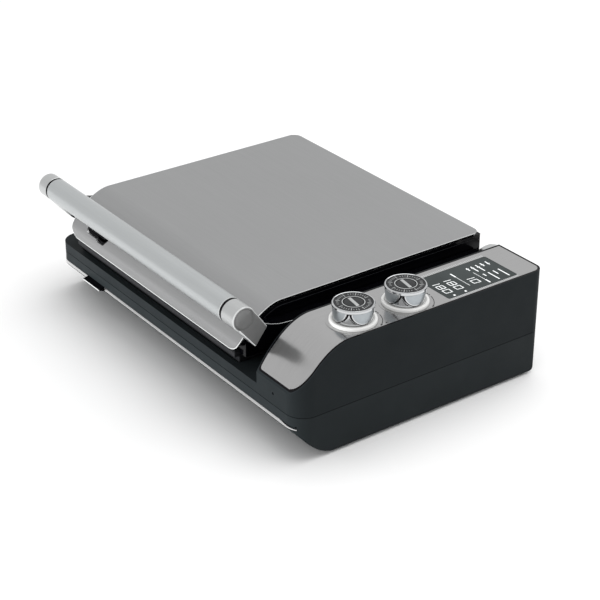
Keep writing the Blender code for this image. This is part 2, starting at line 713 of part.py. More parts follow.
def tower_screw(name, x, z):
    profile = [(0.0, 2.2), (2.6, 2.2), (3.6, 1.2), (3.6, 0.0), (0.0, 0.0)]
    return turned(name, profile, (x, BACK + 3.3 + GAP, z), "steel", 20, "Y")


def power_inlet():
    low, high = INLET
    body = box("power_inlet", low, high, "black_matte")
    mouth = box("inlet_mouth", (low[0] + 3, low[1] + 3, low[2] + 3), (high[0] - 3, high[1] + 4, high[2] - 3))
    return cut(body, mouth)


# ---------------------------------------------------------------- lid

def lid_body(name, inset, mat=None, bottom=LID_BOTTOM, top_skin=0.0, corner=LID_BACK_R):
    """Solid lid form: side profile cut to the plan outline with round back corners."""
    path = shifted(lid_path(bottom), top_skin)
    side = [(y, z) for y, z in path]
    side[0] = (side[0][0], bottom)
    side.append((side[-1][0], bottom))
    body = prism(name, side, "YZ", LID_LEFT + inset, LID_RIGHT - inset, mat)
    radius = max(corner - inset, 1.0)
    plan = prism(name + "_plan",
                 rounded([(LID_LEFT + inset, LID_FRONT - 9), (LID_RIGHT - inset, LID_FRONT - 9),
                          (LID_RIGHT - inset, LID_BACK - inset), (LID_LEFT + inset, LID_BACK - inset)],
                         [0, 0, radius, radius], 6),
                 "XY", 40, 140)
    return common(body, plan)


def below_skin(depth):
    """Everything further than a depth under the lid's skin, seen from the side."""
    path = shifted(lid_path(LID_BOTTOM - 20, LID_BACK + 20), depth)
    return path + [(path[-1][0], LID_BOTTOM - 20)]


def lid_cover():
    """Bent metal skin over the top and front of the lid, with the lower front corners rounded."""
    cover = lid_body("lid_cover", 0.0, "satin_metal")
    inside = prism("cover_inside", below_skin(COVER_T), "YZ", LID_LEFT - 9, LID_RIGHT + 9)
    face = prism("cover_face",
                 rounded([(LID_LEFT, LID_BOTTOM), (LID_RIGHT, LID_BOTTOM), (LID_RIGHT, 140), (LID_LEFT, 140)],
                         [14.0, 14.0, 0, 0], 6),
                 "XZ", LID_FRONT - 9, LID_BACK + 9)
    return common(cut(cover, inside, release_opening("cover_release_hole", 0.0)), face)


def release_opening(name, grow):
    """Window for the plate release in the lid's front, with a lower step on its right."""
    left, right = RIGHT - 394.5, RIGHT - 352.0
    outline = rounded([(left - grow, 88.0 - grow), (left + 20, 88.0 - grow), (left + 25, 86.0 - grow),
                       (right - 6 + grow, 86.0 - grow), (right + grow, 93.0), (right + grow, 99.0 + grow),
                       (left - grow, 99.0 + grow)], [4.5, 2, 2, 3, 3, 2, 2], 4)
    return prism(name, outline, "XZ", LID_FRONT - 12, LID_FRONT + 24)


def lid_frame():
    """Black moulded body of the lid below the metal skin, open underneath."""
    frame = lid_body("lid_frame", -0.8, "black_gloss", 70.6, COVER_T + GAP, BODY_BACK_R)
    room = box("lid_room", (LID_LEFT + 3.5, LID_FRONT + 22, 40), (LID_RIGHT - 3.5, LID_BACK - 4, 113))
    nose_room = box("lid_nose_room", (LID_LEFT + 3.5, LID_FRONT + 9.0, 40), (LID_RIGHT - 3.5, LID_FRONT + 30, 96))
    latch_room = box("latch_room", (RIGHT - 400, LID_FRONT - 5, 82), (RIGHT - 346, LID_FRONT + 30, 101))
    front_relief = box("front_relief", (LID_LEFT - 5, LID_FRONT - 9, 40), (LID_RIGHT + 5, LID_FRONT + 6.4, 87))
    lip_relief = box("lip_relief", (PLATE_LEFT - 1.5, LID_FRONT - 9, 40), (PLATE_RIGHT + 1.5, LID_FRONT + 12, 73.6))
    return cut(frame, room, nose_room, latch_room, front_relief, lip_relief)


def release_bezel():
    """Moulded lining of the release window."""
    form = box("release_bezel", (RIGHT - 399.5, LID_FRONT + 0.4, 82.5), (RIGHT - 346.5, LID_FRONT + 20, 100.6),
               "black_gloss")
    inner = release_opening("bezel_mouth", -2.0)
    skin = prism("bezel_skin", below_skin(COVER_T + GAP), "YZ", RIGHT - 410, RIGHT - 340)
    return cut(common(form, skin), inner)


def upper_release():
    left = RIGHT - 388.0
    return box("upper_plate_release", (left, LID_FRONT + 5.0, 91.4), (left + 29, LID_FRONT + 14, 96.2),
               "black_matte", 0.8)


def lid_arm(name, x0, x1):
    outline = [(FRONT + 18.5, 111.5), (FRONT + 27.3, 108.0), (FRONT + 37.5, 105.2), (FRONT + 52.0, 104.0),
               (HINGE_Y, HINGE_Z + HUB_R), (HINGE_Y, HINGE_Z - 4), (HINGE_Y - HUB_R, HINGE_Z - 4),
               (HINGE_Y - HUB_R - 14, 80.0), (FRONT + 30, 80.0), (FRONT + 16, 84.5), (FRONT + 5.0, 93.7)]
    arm = prism(name, outline, "YZ", x0, x1, "black_gloss")
    seat = cylinder(name + "_seat", (x0 - 5, HINGE_Y, HINGE_Z), (x1 + 5, HINGE_Y, HINGE_Z), HUB_R + GAP,
                    segments=64)
    return cut(arm, seat)


def hinge_drum(name, x0, x1):
    """Metal drum at the end of an arm, which turns on the hinge shaft."""
    inner = SHAFT_R + 0.08
    profile = [(inner, x1), (HUB_R - 1.5, x1), (HUB_R, x1 - 1.5), (HUB_R, x0 + 1.5), (HUB_R - 1.5, x0),
               (inner, x0)]
    return turned(name, profile, (0, HINGE_Y, HINGE_Z), "satin_metal", 48, "X")


def handle_bracket(name, x0, x1, neck_x0, neck_x1):
    """End cap of the handle tube and its neck, which runs down and back to the arm."""
    normal = math.radians(45)
    neck = [(HANDLE_Y + HANDLE_R * math.cos(normal), HANDLE_Z + HANDLE_R * math.sin(normal)),
            (FRONT + 18.0, 112.1), (FRONT + 4.4, 94.4),
            (HANDLE_Y - HANDLE_R * math.cos(normal + 0.35), HANDLE_Z - HANDLE_R * math.sin(normal + 0.35))]
    cap = cylinder(name, (x0, HANDLE_Y, HANDLE_Z), (x1, HANDLE_Y, HANDLE_Z), HANDLE_R, "handle_metal", 48)
    web = prism(name + "_neck", neck, "YZ", neck_x0, neck_x1)
    if neck_x1 > x1:
        cut(web, cylinder(name + "_saddle", (x1, HANDLE_Y, HANDLE_Z), (neck_x1 + 5, HANDLE_Y, HANDLE_Z),
                          HANDLE_R + GAP, segments=64))
    return join(cap, web)


def handle_tube(x0, x1):
    tube = cylinder("handle_tube", (x0, HANDLE_Y, HANDLE_Z), (x1, HANDLE_Y, HANDLE_Z), HANDLE_R,
                    "handle_metal", 64)
    bore = cylinder("handle_bore", (x0 - 5, HANDLE_Y, HANDLE_Z), (x1 + 5, HANDLE_Y, HANDLE_Z), HANDLE_R - 1.6,
                    segments=48)
    return cut(tube, bore)


def handle_ring(name, x):
    ring = cylinder(name, (x - 1.0, HANDLE_Y, HANDLE_Z), (x + 1.0, HANDLE_Y, HANDLE_Z), HANDLE_R - 0.5,
                    "black_matte", 48)
    return ring


def hinge_shaft():
    return cylinder("hinge_shaft", (LEFT + 1.2, HINGE_Y, HINGE_Z), (RIGHT - 69.5, HINGE_Y, HINGE_Z), SHAFT_R,
                    "steel", 48)


# ---------------------------------------------------------------- assembly

def build_base():
    parts = [lower_casing(), upper_casing(), trim_strip("front_trim_strip", TAB[1] + 0.9, RIGHT),
             trim_strip("front_trim_strip_left", LEFT - 5, TAB[0] - 0.9), control_panel(), display_window(),
             display_module(), control_board(), power_board(), power_inlet()]
    parts += [encoder(f"encoder_{tag}", y) for tag, y in zip(("front", "rear"), KNOB_Y)]
    parts += [light_ring(f"light_ring_{tag}", y) for tag, y in zip(("front", "rear"), KNOB_Y)]
    parts += [foot(f"foot_{tag}", x, y) for tag, x, y in (
        ("front_left", LEFT + 34, FRONT + 72), ("front_right", RIGHT - 34, FRONT + 72),
        ("rear_left", LEFT + 34, BACK - 30), ("rear_right", RIGHT - 34, BACK - 30))]
    parts.append(waffle_plate("lower_waffle_plate", LOWER_TOP, LOWER_TOP - 14.5, True))
    parts.append(element("lower_heating_element", LOWER_TOP - 19.0))
    parts.append(reflector("lower_reflector", LOWER_TOP - 26.0, LOWER_TOP - 16.0, True))
    parts += [hinge_tower("hinge_tower_right", 1), hinge_tower("hinge_tower_left", -1)]
    for side, x in (("right", RIGHT - 90.6), ("left", LEFT + 20.2)):
        parts += [tower_screw(f"tower_screw_{side}_{i}", x, z) for i, z in enumerate((22.0, 38.0))]
    return parts


def build_lid():
    parts = [lid_cover(), lid_frame(), release_bezel()]
    parts.append(waffle_plate("upper_waffle_plate", UPPER_BOTTOM, UPPER_BOTTOM + 14.5, False, UPPER_LIP))
    parts.append(element("upper_heating_element", UPPER_BOTTOM + 19.0))
    parts.append(reflector("upper_reflector", UPPER_BOTTOM + 16.0, UPPER_BOTTOM + 26.0, False))
    parts += [lid_arm("right_arm", *RIGHT_ARM), lid_arm("left_arm", *LEFT_ARM)]
    parts += [hinge_drum("right_hinge_drum", *RIGHT_ARM), hinge_drum("left_hinge_drum", *LEFT_ARM)]
    parts.append(handle_bracket("right_handle_bracket", RIGHT_SEAM + 1.2, HANDLE_RIGHT, RIGHT_SEAM + 1.2,
                                HANDLE_RIGHT))
    parts.append(handle_bracket("left_handle_bracket", HANDLE_LEFT, LEFT_SEAM - 1.2, HANDLE_LEFT,
                                RIGHT - 425.6))
    parts.append(handle_tube(LEFT_SEAM + 1.2, RIGHT_SEAM - 1.2))
    parts += [handle_ring("left_handle_ring", LEFT_SEAM), handle_ring("right_handle_ring", RIGHT_SEAM)]
    return parts


def main():
    base = empty("base", (0, 0, 0))
    for part in build_base():
        hang(part, base)
    hang(lower_release(), empty("lower_release_slide", (LEFT, LOWER_RELEASE_Y, 54.2)))
    hinge = empty("hinge_axis", (0, HINGE_Y, HINGE_Z))
    hang(hinge_shaft(), hinge)
    for part in build_lid():
        hang(part, hinge)
    hang(upper_release(), hinge)
    for tag, y in zip(("front", "rear"), KNOB_Y):
        axis = empty(f"knob_axis_{tag}", (KNOB_X, y, BLOCK_TOP))
        hang(knob(f"knob_{tag}", y), axis)
        hang(knob_dial(f"dial_{tag}", y), axis)
        hang(knob_button(f"knob_button_{tag}", y), axis)
    slide = empty("tray_slide", (RIGHT - 376.5, FRONT, TRAY_BOTTOM))
    hang(drip_tray(), slide)


clear_scene()
PARTS = new_collection("waffle_maker")
CUTTERS = new_collection("cutters")
main()
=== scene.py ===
"""Looks of the waffle maker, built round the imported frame. Sizes are millimetres unless noted."""
import math

import bmesh
import bpy
from mathutils import Matrix, Vector


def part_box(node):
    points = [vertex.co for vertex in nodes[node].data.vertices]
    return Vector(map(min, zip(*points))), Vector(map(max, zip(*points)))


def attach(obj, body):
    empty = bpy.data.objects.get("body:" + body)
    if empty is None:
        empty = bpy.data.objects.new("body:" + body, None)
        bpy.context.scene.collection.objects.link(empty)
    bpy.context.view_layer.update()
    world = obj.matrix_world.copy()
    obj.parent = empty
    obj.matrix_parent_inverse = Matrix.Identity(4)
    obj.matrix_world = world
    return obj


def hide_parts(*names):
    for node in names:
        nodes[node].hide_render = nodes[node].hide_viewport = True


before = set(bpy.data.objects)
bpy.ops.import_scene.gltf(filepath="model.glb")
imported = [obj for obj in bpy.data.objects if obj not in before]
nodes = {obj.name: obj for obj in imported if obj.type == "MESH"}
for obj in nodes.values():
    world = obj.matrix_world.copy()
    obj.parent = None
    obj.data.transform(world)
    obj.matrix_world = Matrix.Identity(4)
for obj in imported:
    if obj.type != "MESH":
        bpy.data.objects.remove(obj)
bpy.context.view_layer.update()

MM = 0.001
SHARP_ANGLE = math.radians(32.0)  # edges that turn more than this are shaded as hard ones
OVER = 5.0  # how far a cutter reaches past what it cuts

# ---- places read from the frame


def node_box(name):
    low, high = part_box(name)
    return Vector(low) / MM, Vector(high) / MM


CASE_LOW, CASE_HIGH = node_box("upper_casing")
HULL_LOW, HULL_HIGH = node_box("lower_casing")
COVER_LOW, COVER_HIGH = node_box("lid_cover")
BODY_LOW, BODY_HIGH = node_box("lid_frame")
PANEL_LOW, PANEL_HIGH = node_box("control_panel")
WINDOW_LOW, WINDOW_HIGH = node_box("display_window")
TUBE_LOW, TUBE_HIGH = node_box("handle_tube")
SHAFT_LOW, SHAFT_HIGH = node_box("hinge_shaft")
TRAY_LOW, TRAY_HIGH = node_box("drip_tray")
STRIP_LOW, STRIP_HIGH = node_box("front_trim_strip")
INLET_LOW, INLET_HIGH = node_box("power_inlet")
LOWER_KEY_LOW, LOWER_KEY_HIGH = node_box("lower_plate_release")
LOWER_PLATE_LOW, LOWER_PLATE_HIGH = node_box("lower_waffle_plate")
UPPER_PLATE_LOW, UPPER_PLATE_HIGH = node_box("upper_waffle_plate")

LEFT, RIGHT = CASE_LOW.x, CASE_HIGH.x
FRONT, BACK = CASE_LOW.y, CASE_HIGH.y
SEAM = CASE_LOW.z  # where the lower hull meets the rim
DECK = 60.0  # top of the rim round the lower plate
BLOCK_TOP = CASE_HIGH.z
BLOCK_LEFT = RIGHT - 67.0  # left side of the control block
CORNER = 20.0  # plan radius of the casing's front corners
BACK_CORNER = 11.0
WALL = 2.6
JOINT = 0.35  # half the height of the dark joint between hull and rim
BOW_TOP = 36.7  # height at which the hull's front bows back underneath
PLATE_GAP = 1.5
STEM_R = 4.6  # hole in the panel for a knob's stem
TAB = (RIGHT - 388.0, RIGHT - 354.0)  # left and right ends of the tray's pull tab
HANDLE_Y = (TUBE_LOW.y + TUBE_HIGH.y) / 2
HANDLE_Z = (TUBE_LOW.z + TUBE_HIGH.z) / 2
HANDLE_R = (TUBE_HIGH.z - TUBE_LOW.z) / 2
HANDLE_AXIS = (0, HANDLE_Y, HANDLE_Z)
HINGE_Y = (SHAFT_LOW.y + SHAFT_HIGH.y) / 2
HINGE_Z = (SHAFT_LOW.z + SHAFT_HIGH.z) / 2
HINGE_AXIS = (0, HINGE_Y, HINGE_Z)
LID_BOTTOM = COVER_LOW.z
LID_CORNERS = (14.0, 20.0)  # radii of the cover's lower left and lower right corners
COVER_T = 1.8  # cover thickness
COVER_GAP = 0.15

# Side views as Bezier control points: distance back from the front, and height.
BEND = ((0.0, 72.5), (14.0, 94.9), (36.0, BLOCK_TOP), (60.0, BLOCK_TOP))
LID_BEND = ((0.0, 82.9), (2.6, 95.9), (28.6, COVER_HIGH.z), (48.6, COVER_HIGH.z))

KNOBS = {}  # axis x and y, bottom and top of each knob
for tag in ("front", "rear"):
    knob_low, knob_high = node_box(f"knob_{tag}")
    KNOBS[tag] = ((knob_low.x + knob_high.x) / 2, (knob_low.y + knob_high.y) / 2, knob_low.z, knob_high.z)


# ---- mesh helpers

def spawn(name, data):
    obj = bpy.data.objects.new(name, data)
    bpy.context.scene.collection.objects.link(obj)
    return obj


def shade(mesh):
    mesh.shade_smooth()
    mesh.set_sharp_from_angle(angle=SHARP_ANGLE)


def make(name, bm):
    """Object from a bmesh in millimetres."""
    bmesh.ops.scale(bm, vec=(MM, MM, MM), verts=bm.verts)
    mesh = bpy.data.meshes.new(name)
    bm.to_mesh(mesh)
    bm.free()
    shade(mesh)
    return spawn(name, mesh)


def carve(obj, operation, others):
    """Boolean with each of the other objects, which are used up."""
    for other in others:
        mod = obj.modifiers.new("carve", "BOOLEAN")
        mod.operation = operation
        mod.solver = "EXACT"
        mod.object = other
    bpy.context.view_layer.update()
    graph = bpy.context.evaluated_depsgraph_get()
    mesh = bpy.data.meshes.new_from_object(obj.evaluated_get(graph))
    obj.modifiers.clear()
    old = obj.data
    obj.data = mesh
    bpy.data.meshes.remove(old)
    shade(mesh)
    for other in others:
        bpy.data.objects.remove(other)
    return obj


def cut(obj, *others):
    return carve(obj, "DIFFERENCE", others)


def common(obj, *others):
    return carve(obj, "INTERSECT", others)


def join(obj, *others):
    return carve(obj, "UNION", others)


def soften(obj, width, segments=3, angle=35.0):
    """Round the hard edges of an object."""
    weld = obj.modifiers.new("weld", "WELD")
    weld.merge_threshold = 0.000002
    mod = obj.modifiers.new("edges", "BEVEL")
    mod.width = width * MM
    mod.segments = segments
    mod.limit_method = "ANGLE"
    mod.angle_limit = math.radians(angle)
    mod.harden_normals = True


def box(name, low, high):
    bm = bmesh.new()
    bmesh.ops.create_cube(bm, size=1.0)
    bmesh.ops.scale(bm, vec=[high[i] - low[i] for i in range(3)], verts=bm.verts)
    bmesh.ops.translate(bm, vec=[(high[i] + low[i]) / 2 for i in range(3)], verts=bm.verts)
    return make(name, bm)


def cylinder(name, start, end, radius, segments=24):
    start, end = Vector(start), Vector(end)
    bm = bmesh.new()
    bmesh.ops.create_cone(bm, cap_ends=True, segments=segments, radius1=radius, radius2=radius,
                          depth=(end - start).length)
    turn = (end - start).to_track_quat("Z", "Y").to_matrix().to_4x4()
    bmesh.ops.transform(bm, matrix=Matrix.Translation((start + end) / 2) @ turn, verts=bm.verts)
    return make(name, bm)


def hinge_bore(low, high, radius):
    """Cutter round the hinge axis, between two places along it."""
    return cylinder("bore", (low, HINGE_Y, HINGE_Z), (high, HINGE_Y, HINGE_Z), radius, 96)


PLANES = {"XY": lambda u, v, w: (u, v, w), "YZ": lambda u, v, w: (w, u, v), "XZ": lambda u, v, w: (u, w, v)}


def prism(name, outline, plane, low, high):
    """Extrude a flat outline. plane XY runs along Z, YZ along X and XZ along Y."""
    place = PLANES[plane]
    bm = bmesh.new()
    face = bm.faces.new([bm.verts.new(place(u, v, low)) for u, v in outline])
    made = bmesh.ops.extrude_face_region(bm, geom=[face])["geom"]
    moved = [g for g in made if isinstance(g, bmesh.types.BMVert)]
    bmesh.ops.translate(bm, vec=place(0, 0, high - low), verts=moved)
    bmesh.ops.recalc_face_normals(bm, faces=bm.faces)
    return make(name, bm)


def turned(name, profile, centre, axis="Z", steps=96, closed=False):
    """Turn a profile of (radius, height) points about an axis through centre."""
    bm = bmesh.new()
    angles = [2 * math.pi * k / steps for k in range(steps)]
    rings = []
    for radius, height in profile:
        around = [(radius * math.cos(a), radius * math.sin(a), height) for a in angles]
        rings.append([bm.verts.new(place) for place in (around if radius > 0 else around[:1])])
    pairs = list(zip(rings, rings[1:])) + ([(rings[-1], rings[0])] if closed else [])
    for a, b in pairs:
        for k in range(steps):
            ring = [a[k % len(a)], b[k % len(b)], b[(k + 1) % len(b)], a[(k + 1) % len(a)]]
            corners = list(dict.fromkeys(ring))
            if len(corners) > 2:
                bm.faces.new(corners)
    turn = Matrix.Rotation(math.radians(90 if axis == "X" else 0), 4, "Y")
    bmesh.ops.transform(bm, matrix=Matrix.Translation(Vector(centre)) @ turn, verts=bm.verts)
    bmesh.ops.recalc_face_normals(bm, faces=bm.faces)
    return make(name, bm)


def rounded(points, radii, steps=10):
    """Round the corners of a polygon: radii gives one radius for each corner."""
    out = []
    for i, (point, radius) in enumerate(zip(points, radii)):
        here = Vector(point)
        if radius <= 0:
            out.append(tuple(here))
            continue
        back = (Vector(points[i - 1]) - here).normalized()
        ahead = (Vector(points[(i + 1) % len(points)]) - here).normalized()
        half = back.angle(ahead) / 2
        centre = here + (back + ahead).normalized() * (radius / math.sin(half))
        first = here + back * (radius / math.tan(half)) - centre
        last = here + ahead * (radius / math.tan(half)) - centre
        sweep = first.angle_signed(last)
        out += [tuple(centre + Matrix.Rotation(-sweep * k / steps, 2) @ first) for k in range(steps + 1)]
    return out


def rectangle(low, high, radius, grow=0.0):
    """Outline of a box from above with rounded corners, grown all round."""
    x0, y0, x1, y1 = low.x - grow, low.y - grow, high.x + grow, high.y + grow
    return rounded([(x0, y0), (x1, y0), (x1, y1), (x0, y1)], [radius] * 4, 12)


def bezier(control, steps=40):
    a, b, c, d = (Vector(p) for p in control)
    out = []
    for k in range(steps + 1):
        t = k / steps
        s = 1 - t
        out.append(tuple(a * s ** 3 + b * (3 * s * s * t) + c * (3 * s * t * t) + d * t ** 3))
    return out


def shifted(path, distance):
    """Offset an open path to its right-hand side by a distance."""
    out = []
    for i, point in enumerate(path):
        run = (Vector(path[min(i + 1, len(path) - 1)]) - Vector(path[max(i - 1, 0)])).normalized()
        out.append((point[0] + run.y * distance, point[1] - run.x * distance))
    return out


def band(path, inner, outer):
    """Outline between two offsets of an open path."""
    return shifted(path, -outer) + shifted(path, inner)[::-1]


def wire(name, points, radius):
    """Round wire through points in millimetres."""
    curve = bpy.data.curves.new(name, "CURVE")
    curve.dimensions = "3D"
    curve.bevel_depth = radius * MM
    curve.bevel_resolution = 3
    curve.use_fill_caps = True
    spline = curve.splines.new("POLY")
    spline.points.add(len(points) - 1)
    for point, place in zip(spline.points, points):
        point.co = (*(Vector(place) * MM), 1.0)
    return merged(name, [spawn(name, curve)])


def merged(name, objects):
    """One mesh object from several, left as separate shells."""
    bm = bmesh.new()
    graph = bpy.context.evaluated_depsgraph_get()
    for obj in objects:
        mesh = bpy.data.meshes.new_from_object(obj.evaluated_get(graph))
        mesh.transform(obj.matrix_world)
        bm.from_mesh(mesh)
        bpy.data.meshes.remove(mesh)
        bpy.data.objects.remove(obj)
    bmesh.ops.scale(bm, vec=(1 / MM,) * 3, verts=bm.verts)
    return make(name, bm)


def flat_bar(name, start, end, width, low, high):
    """Thin upright-walled bar between two points of the XY plane."""
    a, b = Vector(start), Vector(end)
    side = Vector((a.y - b.y, b.x - a.x)).normalized() * (width / 2)
    return prism(name, [tuple(a - side), tuple(b - side), tuple(b + side), tuple(a + side)], "XY", low, high)


def polar(centre, radius, degrees):
    angle = math.radians(degrees)
    return centre[0] + radius * math.cos(angle), centre[1] + radius * math.sin(angle)


def arc_bar(name, centre, radius, first, last, width, low, high, steps=24):
    """Flat bar bent round a centre, from a first to a last angle in degrees."""
    angles = [first + (last - first) * k / steps for k in range(steps + 1)]
    inner = [polar(centre, radius - width / 2, a) for a in angles]
    outer = [polar(centre, radius + width / 2, a) for a in angles]
    return prism(name, inner + outer[::-1], "XY", low, high)


# ---- materials

MATS = {}
ALONG_X = (0.02, 1.0, 1.0)  # noise scales that draw the grain out along X
ALONG_PANEL = (1.0, 0.02, 0.02)  # the panel's length turns from upright to level


def surface(name, color, roughness, metallic=0.0, tint=None, wear=None, relief=None, **sockets):
    """Principled material, kept in MATS and varied by noise in the object's own space.

    tint and wear hold a noise and how far it moves the colour or the roughness. relief holds a noise,
    a height in metres and a strength. A noise is a scale, a detail and a stretch.
    """
    MATS[name] = mat = bpy.data.materials.new(name)
    mat.use_nodes = True
    tree = mat.node_tree
    shader = tree.nodes["Principled BSDF"]
    coords = tree.nodes.new("ShaderNodeTexCoord")

    def fill(made, values):
        for key, value in values.items():
            made.inputs[key.replace("_", " ")].default_value = value

    def node(kind, socket, source, **values):
        made = tree.nodes.new("ShaderNode" + kind)
        tree.links.new(source, made.inputs[socket])
        fill(made, values)
        return made.outputs[0]

    def noise(scale, detail=3.0, stretch=(1.0, 1.0, 1.0)):
        place = node("Mapping", "Vector", coords.outputs["Object"], Scale=stretch)
        return node("TexNoise", "Vector", place, Scale=scale, Detail=detail)

    def spread(fac, low, high):
        """Map a 0.3 to 0.7 noise to a range."""
        return node("MapRange", "Value", fac, From_Min=0.3, From_Max=0.7, To_Min=low, To_Max=high)

    fill(shader, {"Base Color": (*color, 1.0), "Roughness": roughness, "Metallic": metallic, **sockets})
    if tint:
        mix = tree.nodes.new("ShaderNodeMix")
        mix.data_type = "RGBA"
        sides = {"A": 1 - tint[1], "B": 1 + tint[1]}
        for socket in mix.inputs:
            if socket.type == "RGBA":
                socket.default_value = (*(min(c * sides[socket.name], 1.0) for c in color), 1.0)
        tree.links.new(spread(noise(*tint[0]), 0.0, 1.0), mix.inputs["Factor"])
        tree.links.new([s for s in mix.outputs if s.type == "RGBA"][0], shader.inputs["Base Color"])
    if wear:
        fac = spread(noise(*wear[0]), roughness - wear[1], roughness + wear[1])
        tree.links.new(fac, shader.inputs["Roughness"])
    if relief:
        bump = node("Bump", "Height", noise(*relief[0]), Distance=relief[1], Strength=relief[2])
        tree.links.new(bump, shader.inputs["Normal"])


def satin_metal(name, color, roughness, grain, depth=0.00001):
    """Metal with a fine grain that runs one way."""
    streaks = (900.0, 4.0, grain)
    surface(name, color, roughness, 1.0, (streaks, 0.025), ((9.0,), 0.03), (streaks, depth, 0.15))


def moulded(name, color, roughness):
    """Spark-eroded plastic with a fine pebble."""
    surface(name, color, roughness, 0.0, ((14.0, 4.0), 0.10), ((45.0,), 0.05), ((2600.0, 2.0), 0.00003, 0.5),
            Specular_IOR_Level=0.06)


def gloss(name, color, roughness):
    """Smooth plastic with a slight waviness."""
    surface(name, color, roughness, 0.0, ((30.0,), 0.15), ((70.0, 4.0), 0.03), ((55.0, 1.0), 0.00002, 0.25),
            Specular_IOR_Level=0.12)


def chrome(name, color, roughness=0.10, metallic=1.0):
    """Polished metal with faint wipe marks."""
    surface(name, color, roughness, metallic, None, ((60.0, 4.0), 0.03), ((120.0, 2.0), 0.000005, 0.3))


def milky(name, color, glow):
    """Diffuser lit from below."""
    surface(name, color, 0.35, 0.0, None, ((90.0,), 0.06), ((700.0,), 0.00001, 0.3),
            Emission_Color=(*color, 1.0), Emission_Strength=glow)


satin_metal("lid_metal", (0.38, 0.383, 0.386), 0.36, ALONG_X)
satin_metal("panel_metal", (0.47, 0.47, 0.47), 0.20, ALONG_PANEL)
satin_metal("handle_metal", (0.55, 0.57, 0.575), 0.32, ALONG_X)
satin_metal("cap_metal", (0.58, 0.59, 0.59), 0.30, ALONG_X)
# Darker copy of cap_metal for the caps' outward-facing sides: painted shade.
satin_metal("shaded_cap_metal", (0.27, 0.272, 0.272), 0.45, (1.0, 0.2, 0.2))
# Pale, nearly non-metallic grey that paints a highlight on the edges, lips and beads it is put on.
chrome("painted_highlight", (0.55, 0.56, 0.56), 0.25, 0.1)
satin_metal("strip_metal", (0.70, 0.70, 0.70), 0.3, ALONG_X)
satin_metal("steel", (0.42, 0.42, 0.43), 0.36, (1.0, 1.0, 0.05), 0.00002)
satin_metal("grip_metal", (0.40, 0.43, 0.45), 0.30, (0.2, 0.2, 1.0))
chrome("chrome", (0.60, 0.61, 0.62))
moulded("charcoal", (0.0125, 0.0155, 0.0170), 0.50)
# Lighter copy of the charcoal for the lower hull and tray front: painted light, the floor's reflection on the
# lower walls.
moulded("hull", (0.0150, 0.0185, 0.0200), 0.50)
gloss("black_gloss", (0.0008, 0.0008, 0.0014), 0.14)
moulded("black_matte", (0.004, 0.004, 0.0045), 0.55)
moulded("black_trim", (0.0015, 0.0015, 0.002), 0.35)
surface("nonstick", (0.013, 0.0135, 0.015), 0.36, 0.0, ((3500.0, 1.0), 0.5), ((20.0,), 0.06),
        ((900.0, 2.0), 0.00004, 0.5), Specular_IOR_Level=0.1)
surface("rubber", (0.018, 0.018, 0.018), 0.85, 0.0, ((60.0,), 0.2), ((200.0,), 0.04),
        ((1500.0,), 0.00006, 0.6))
TRACKS = (260.0, 0.0, (1.0, 6.0, 1.0))
surface("board", (0.015, 0.09, 0.045), 0.4, 0.0, (TRACKS, 0.4), ((80.0,), 0.08), (TRACKS, 0.00004, 0.4))
milky("ring_light", (0.70, 0.70, 0.69), 0.06)
milky("digit_light", (0.80, 0.82, 0.82), 0.25)
gloss("glass", (0.034, 0.042, 0.042), 0.2)
moulded("side_line", (0.030, 0.031, 0.034), 0.4)
chrome("washer_metal", (0.46, 0.46, 0.46), 0.22)
moulded("print", (0.03, 0.03, 0.03), 0.5)
moulded("pale_print", (0.46, 0.47, 0.47), 0.5)
moulded("button_face", (0.035, 0.036, 0.037), 0.35)


def dress(obj, mat):
    obj.data.materials.clear()
    obj.data.materials.append(MATS[mat])


def add(obj, mat, body, replaces=()):
    """Finish a piece: material, the body it rides on, and the CAD nodes it stands for, which get hidden."""
    dress(obj, mat)
    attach(obj, body)
    if replaces:
        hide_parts(*replaces)


def paint_edge_highlights(obj):
    """Paint a highlight on the rounded edges that soften() makes."""
    obj.data.materials.append(MATS["painted_highlight"])
    obj.modifiers["edges"].material = len(obj.data.materials) - 1


def paint(obj, mat, test):
    """Second material on the faces whose outward normal passes a test."""
    obj.data.materials.append(MATS[mat])
    index = len(obj.data.materials) - 1
    for face in obj.data.polygons:
        if test(face.normal):
            face.material_index = index


# ---- casing

def plan_prism(name, inset, low, high):
    """The casing's outline from above, inset by a distance, as an upright solid."""
    x0, x1, y0, y1 = LEFT + inset, RIGHT - inset, FRONT + inset, BACK - inset
    front, back = CORNER - inset, BACK_CORNER - inset
    outline = rounded([(x0, y0), (x1, y0), (x1, y1), (x0, y1)], [front, front, back, back], 14)
    return prism(name, outline, "XY", low, high)


def block_path():
    """Side view of the control block, from the seam up its front and along its top."""
    rise = [(FRONT + y, z) for y, z in bezier(BEND)]
    return [(FRONT, SEAM)] + rise + [(BACK, BLOCK_TOP)]


def bow_path(depth=52.0, steps=24):
    """Side view of the hull's front, bowed back underneath."""
    return [(FRONT + depth * (1 - k / steps), HULL_LOW.z + (BOW_TOP - HULL_LOW.z) * (k / steps) ** 2.2)
            for k in range(steps + 1)]


def hull_form(name):
    """Outer form of the lower casing: side view, front view and plan cut together."""
    top, bottom = HULL_HIGH.z, HULL_LOW.z
    side = [(BACK, top), (FRONT, top)] + bow_path()[::-1] + [(BACK - 8.0, bottom), (BACK, bottom + 10.0)]
    body = prism(name, side, "YZ", LEFT - 1, RIGHT + 1)
    outline = [(LEFT, SEAM), (LEFT + 2.0, bottom), (RIGHT - 2.0, bottom), (RIGHT, SEAM)]
    sides = prism("sides", rounded(outline, [0, 3.0, 3.0, 0], 8), "XZ", FRONT - OVER, BACK + OVER)
    return common(body, sides, plan_prism("plan", 0.0, -5, top + 5))


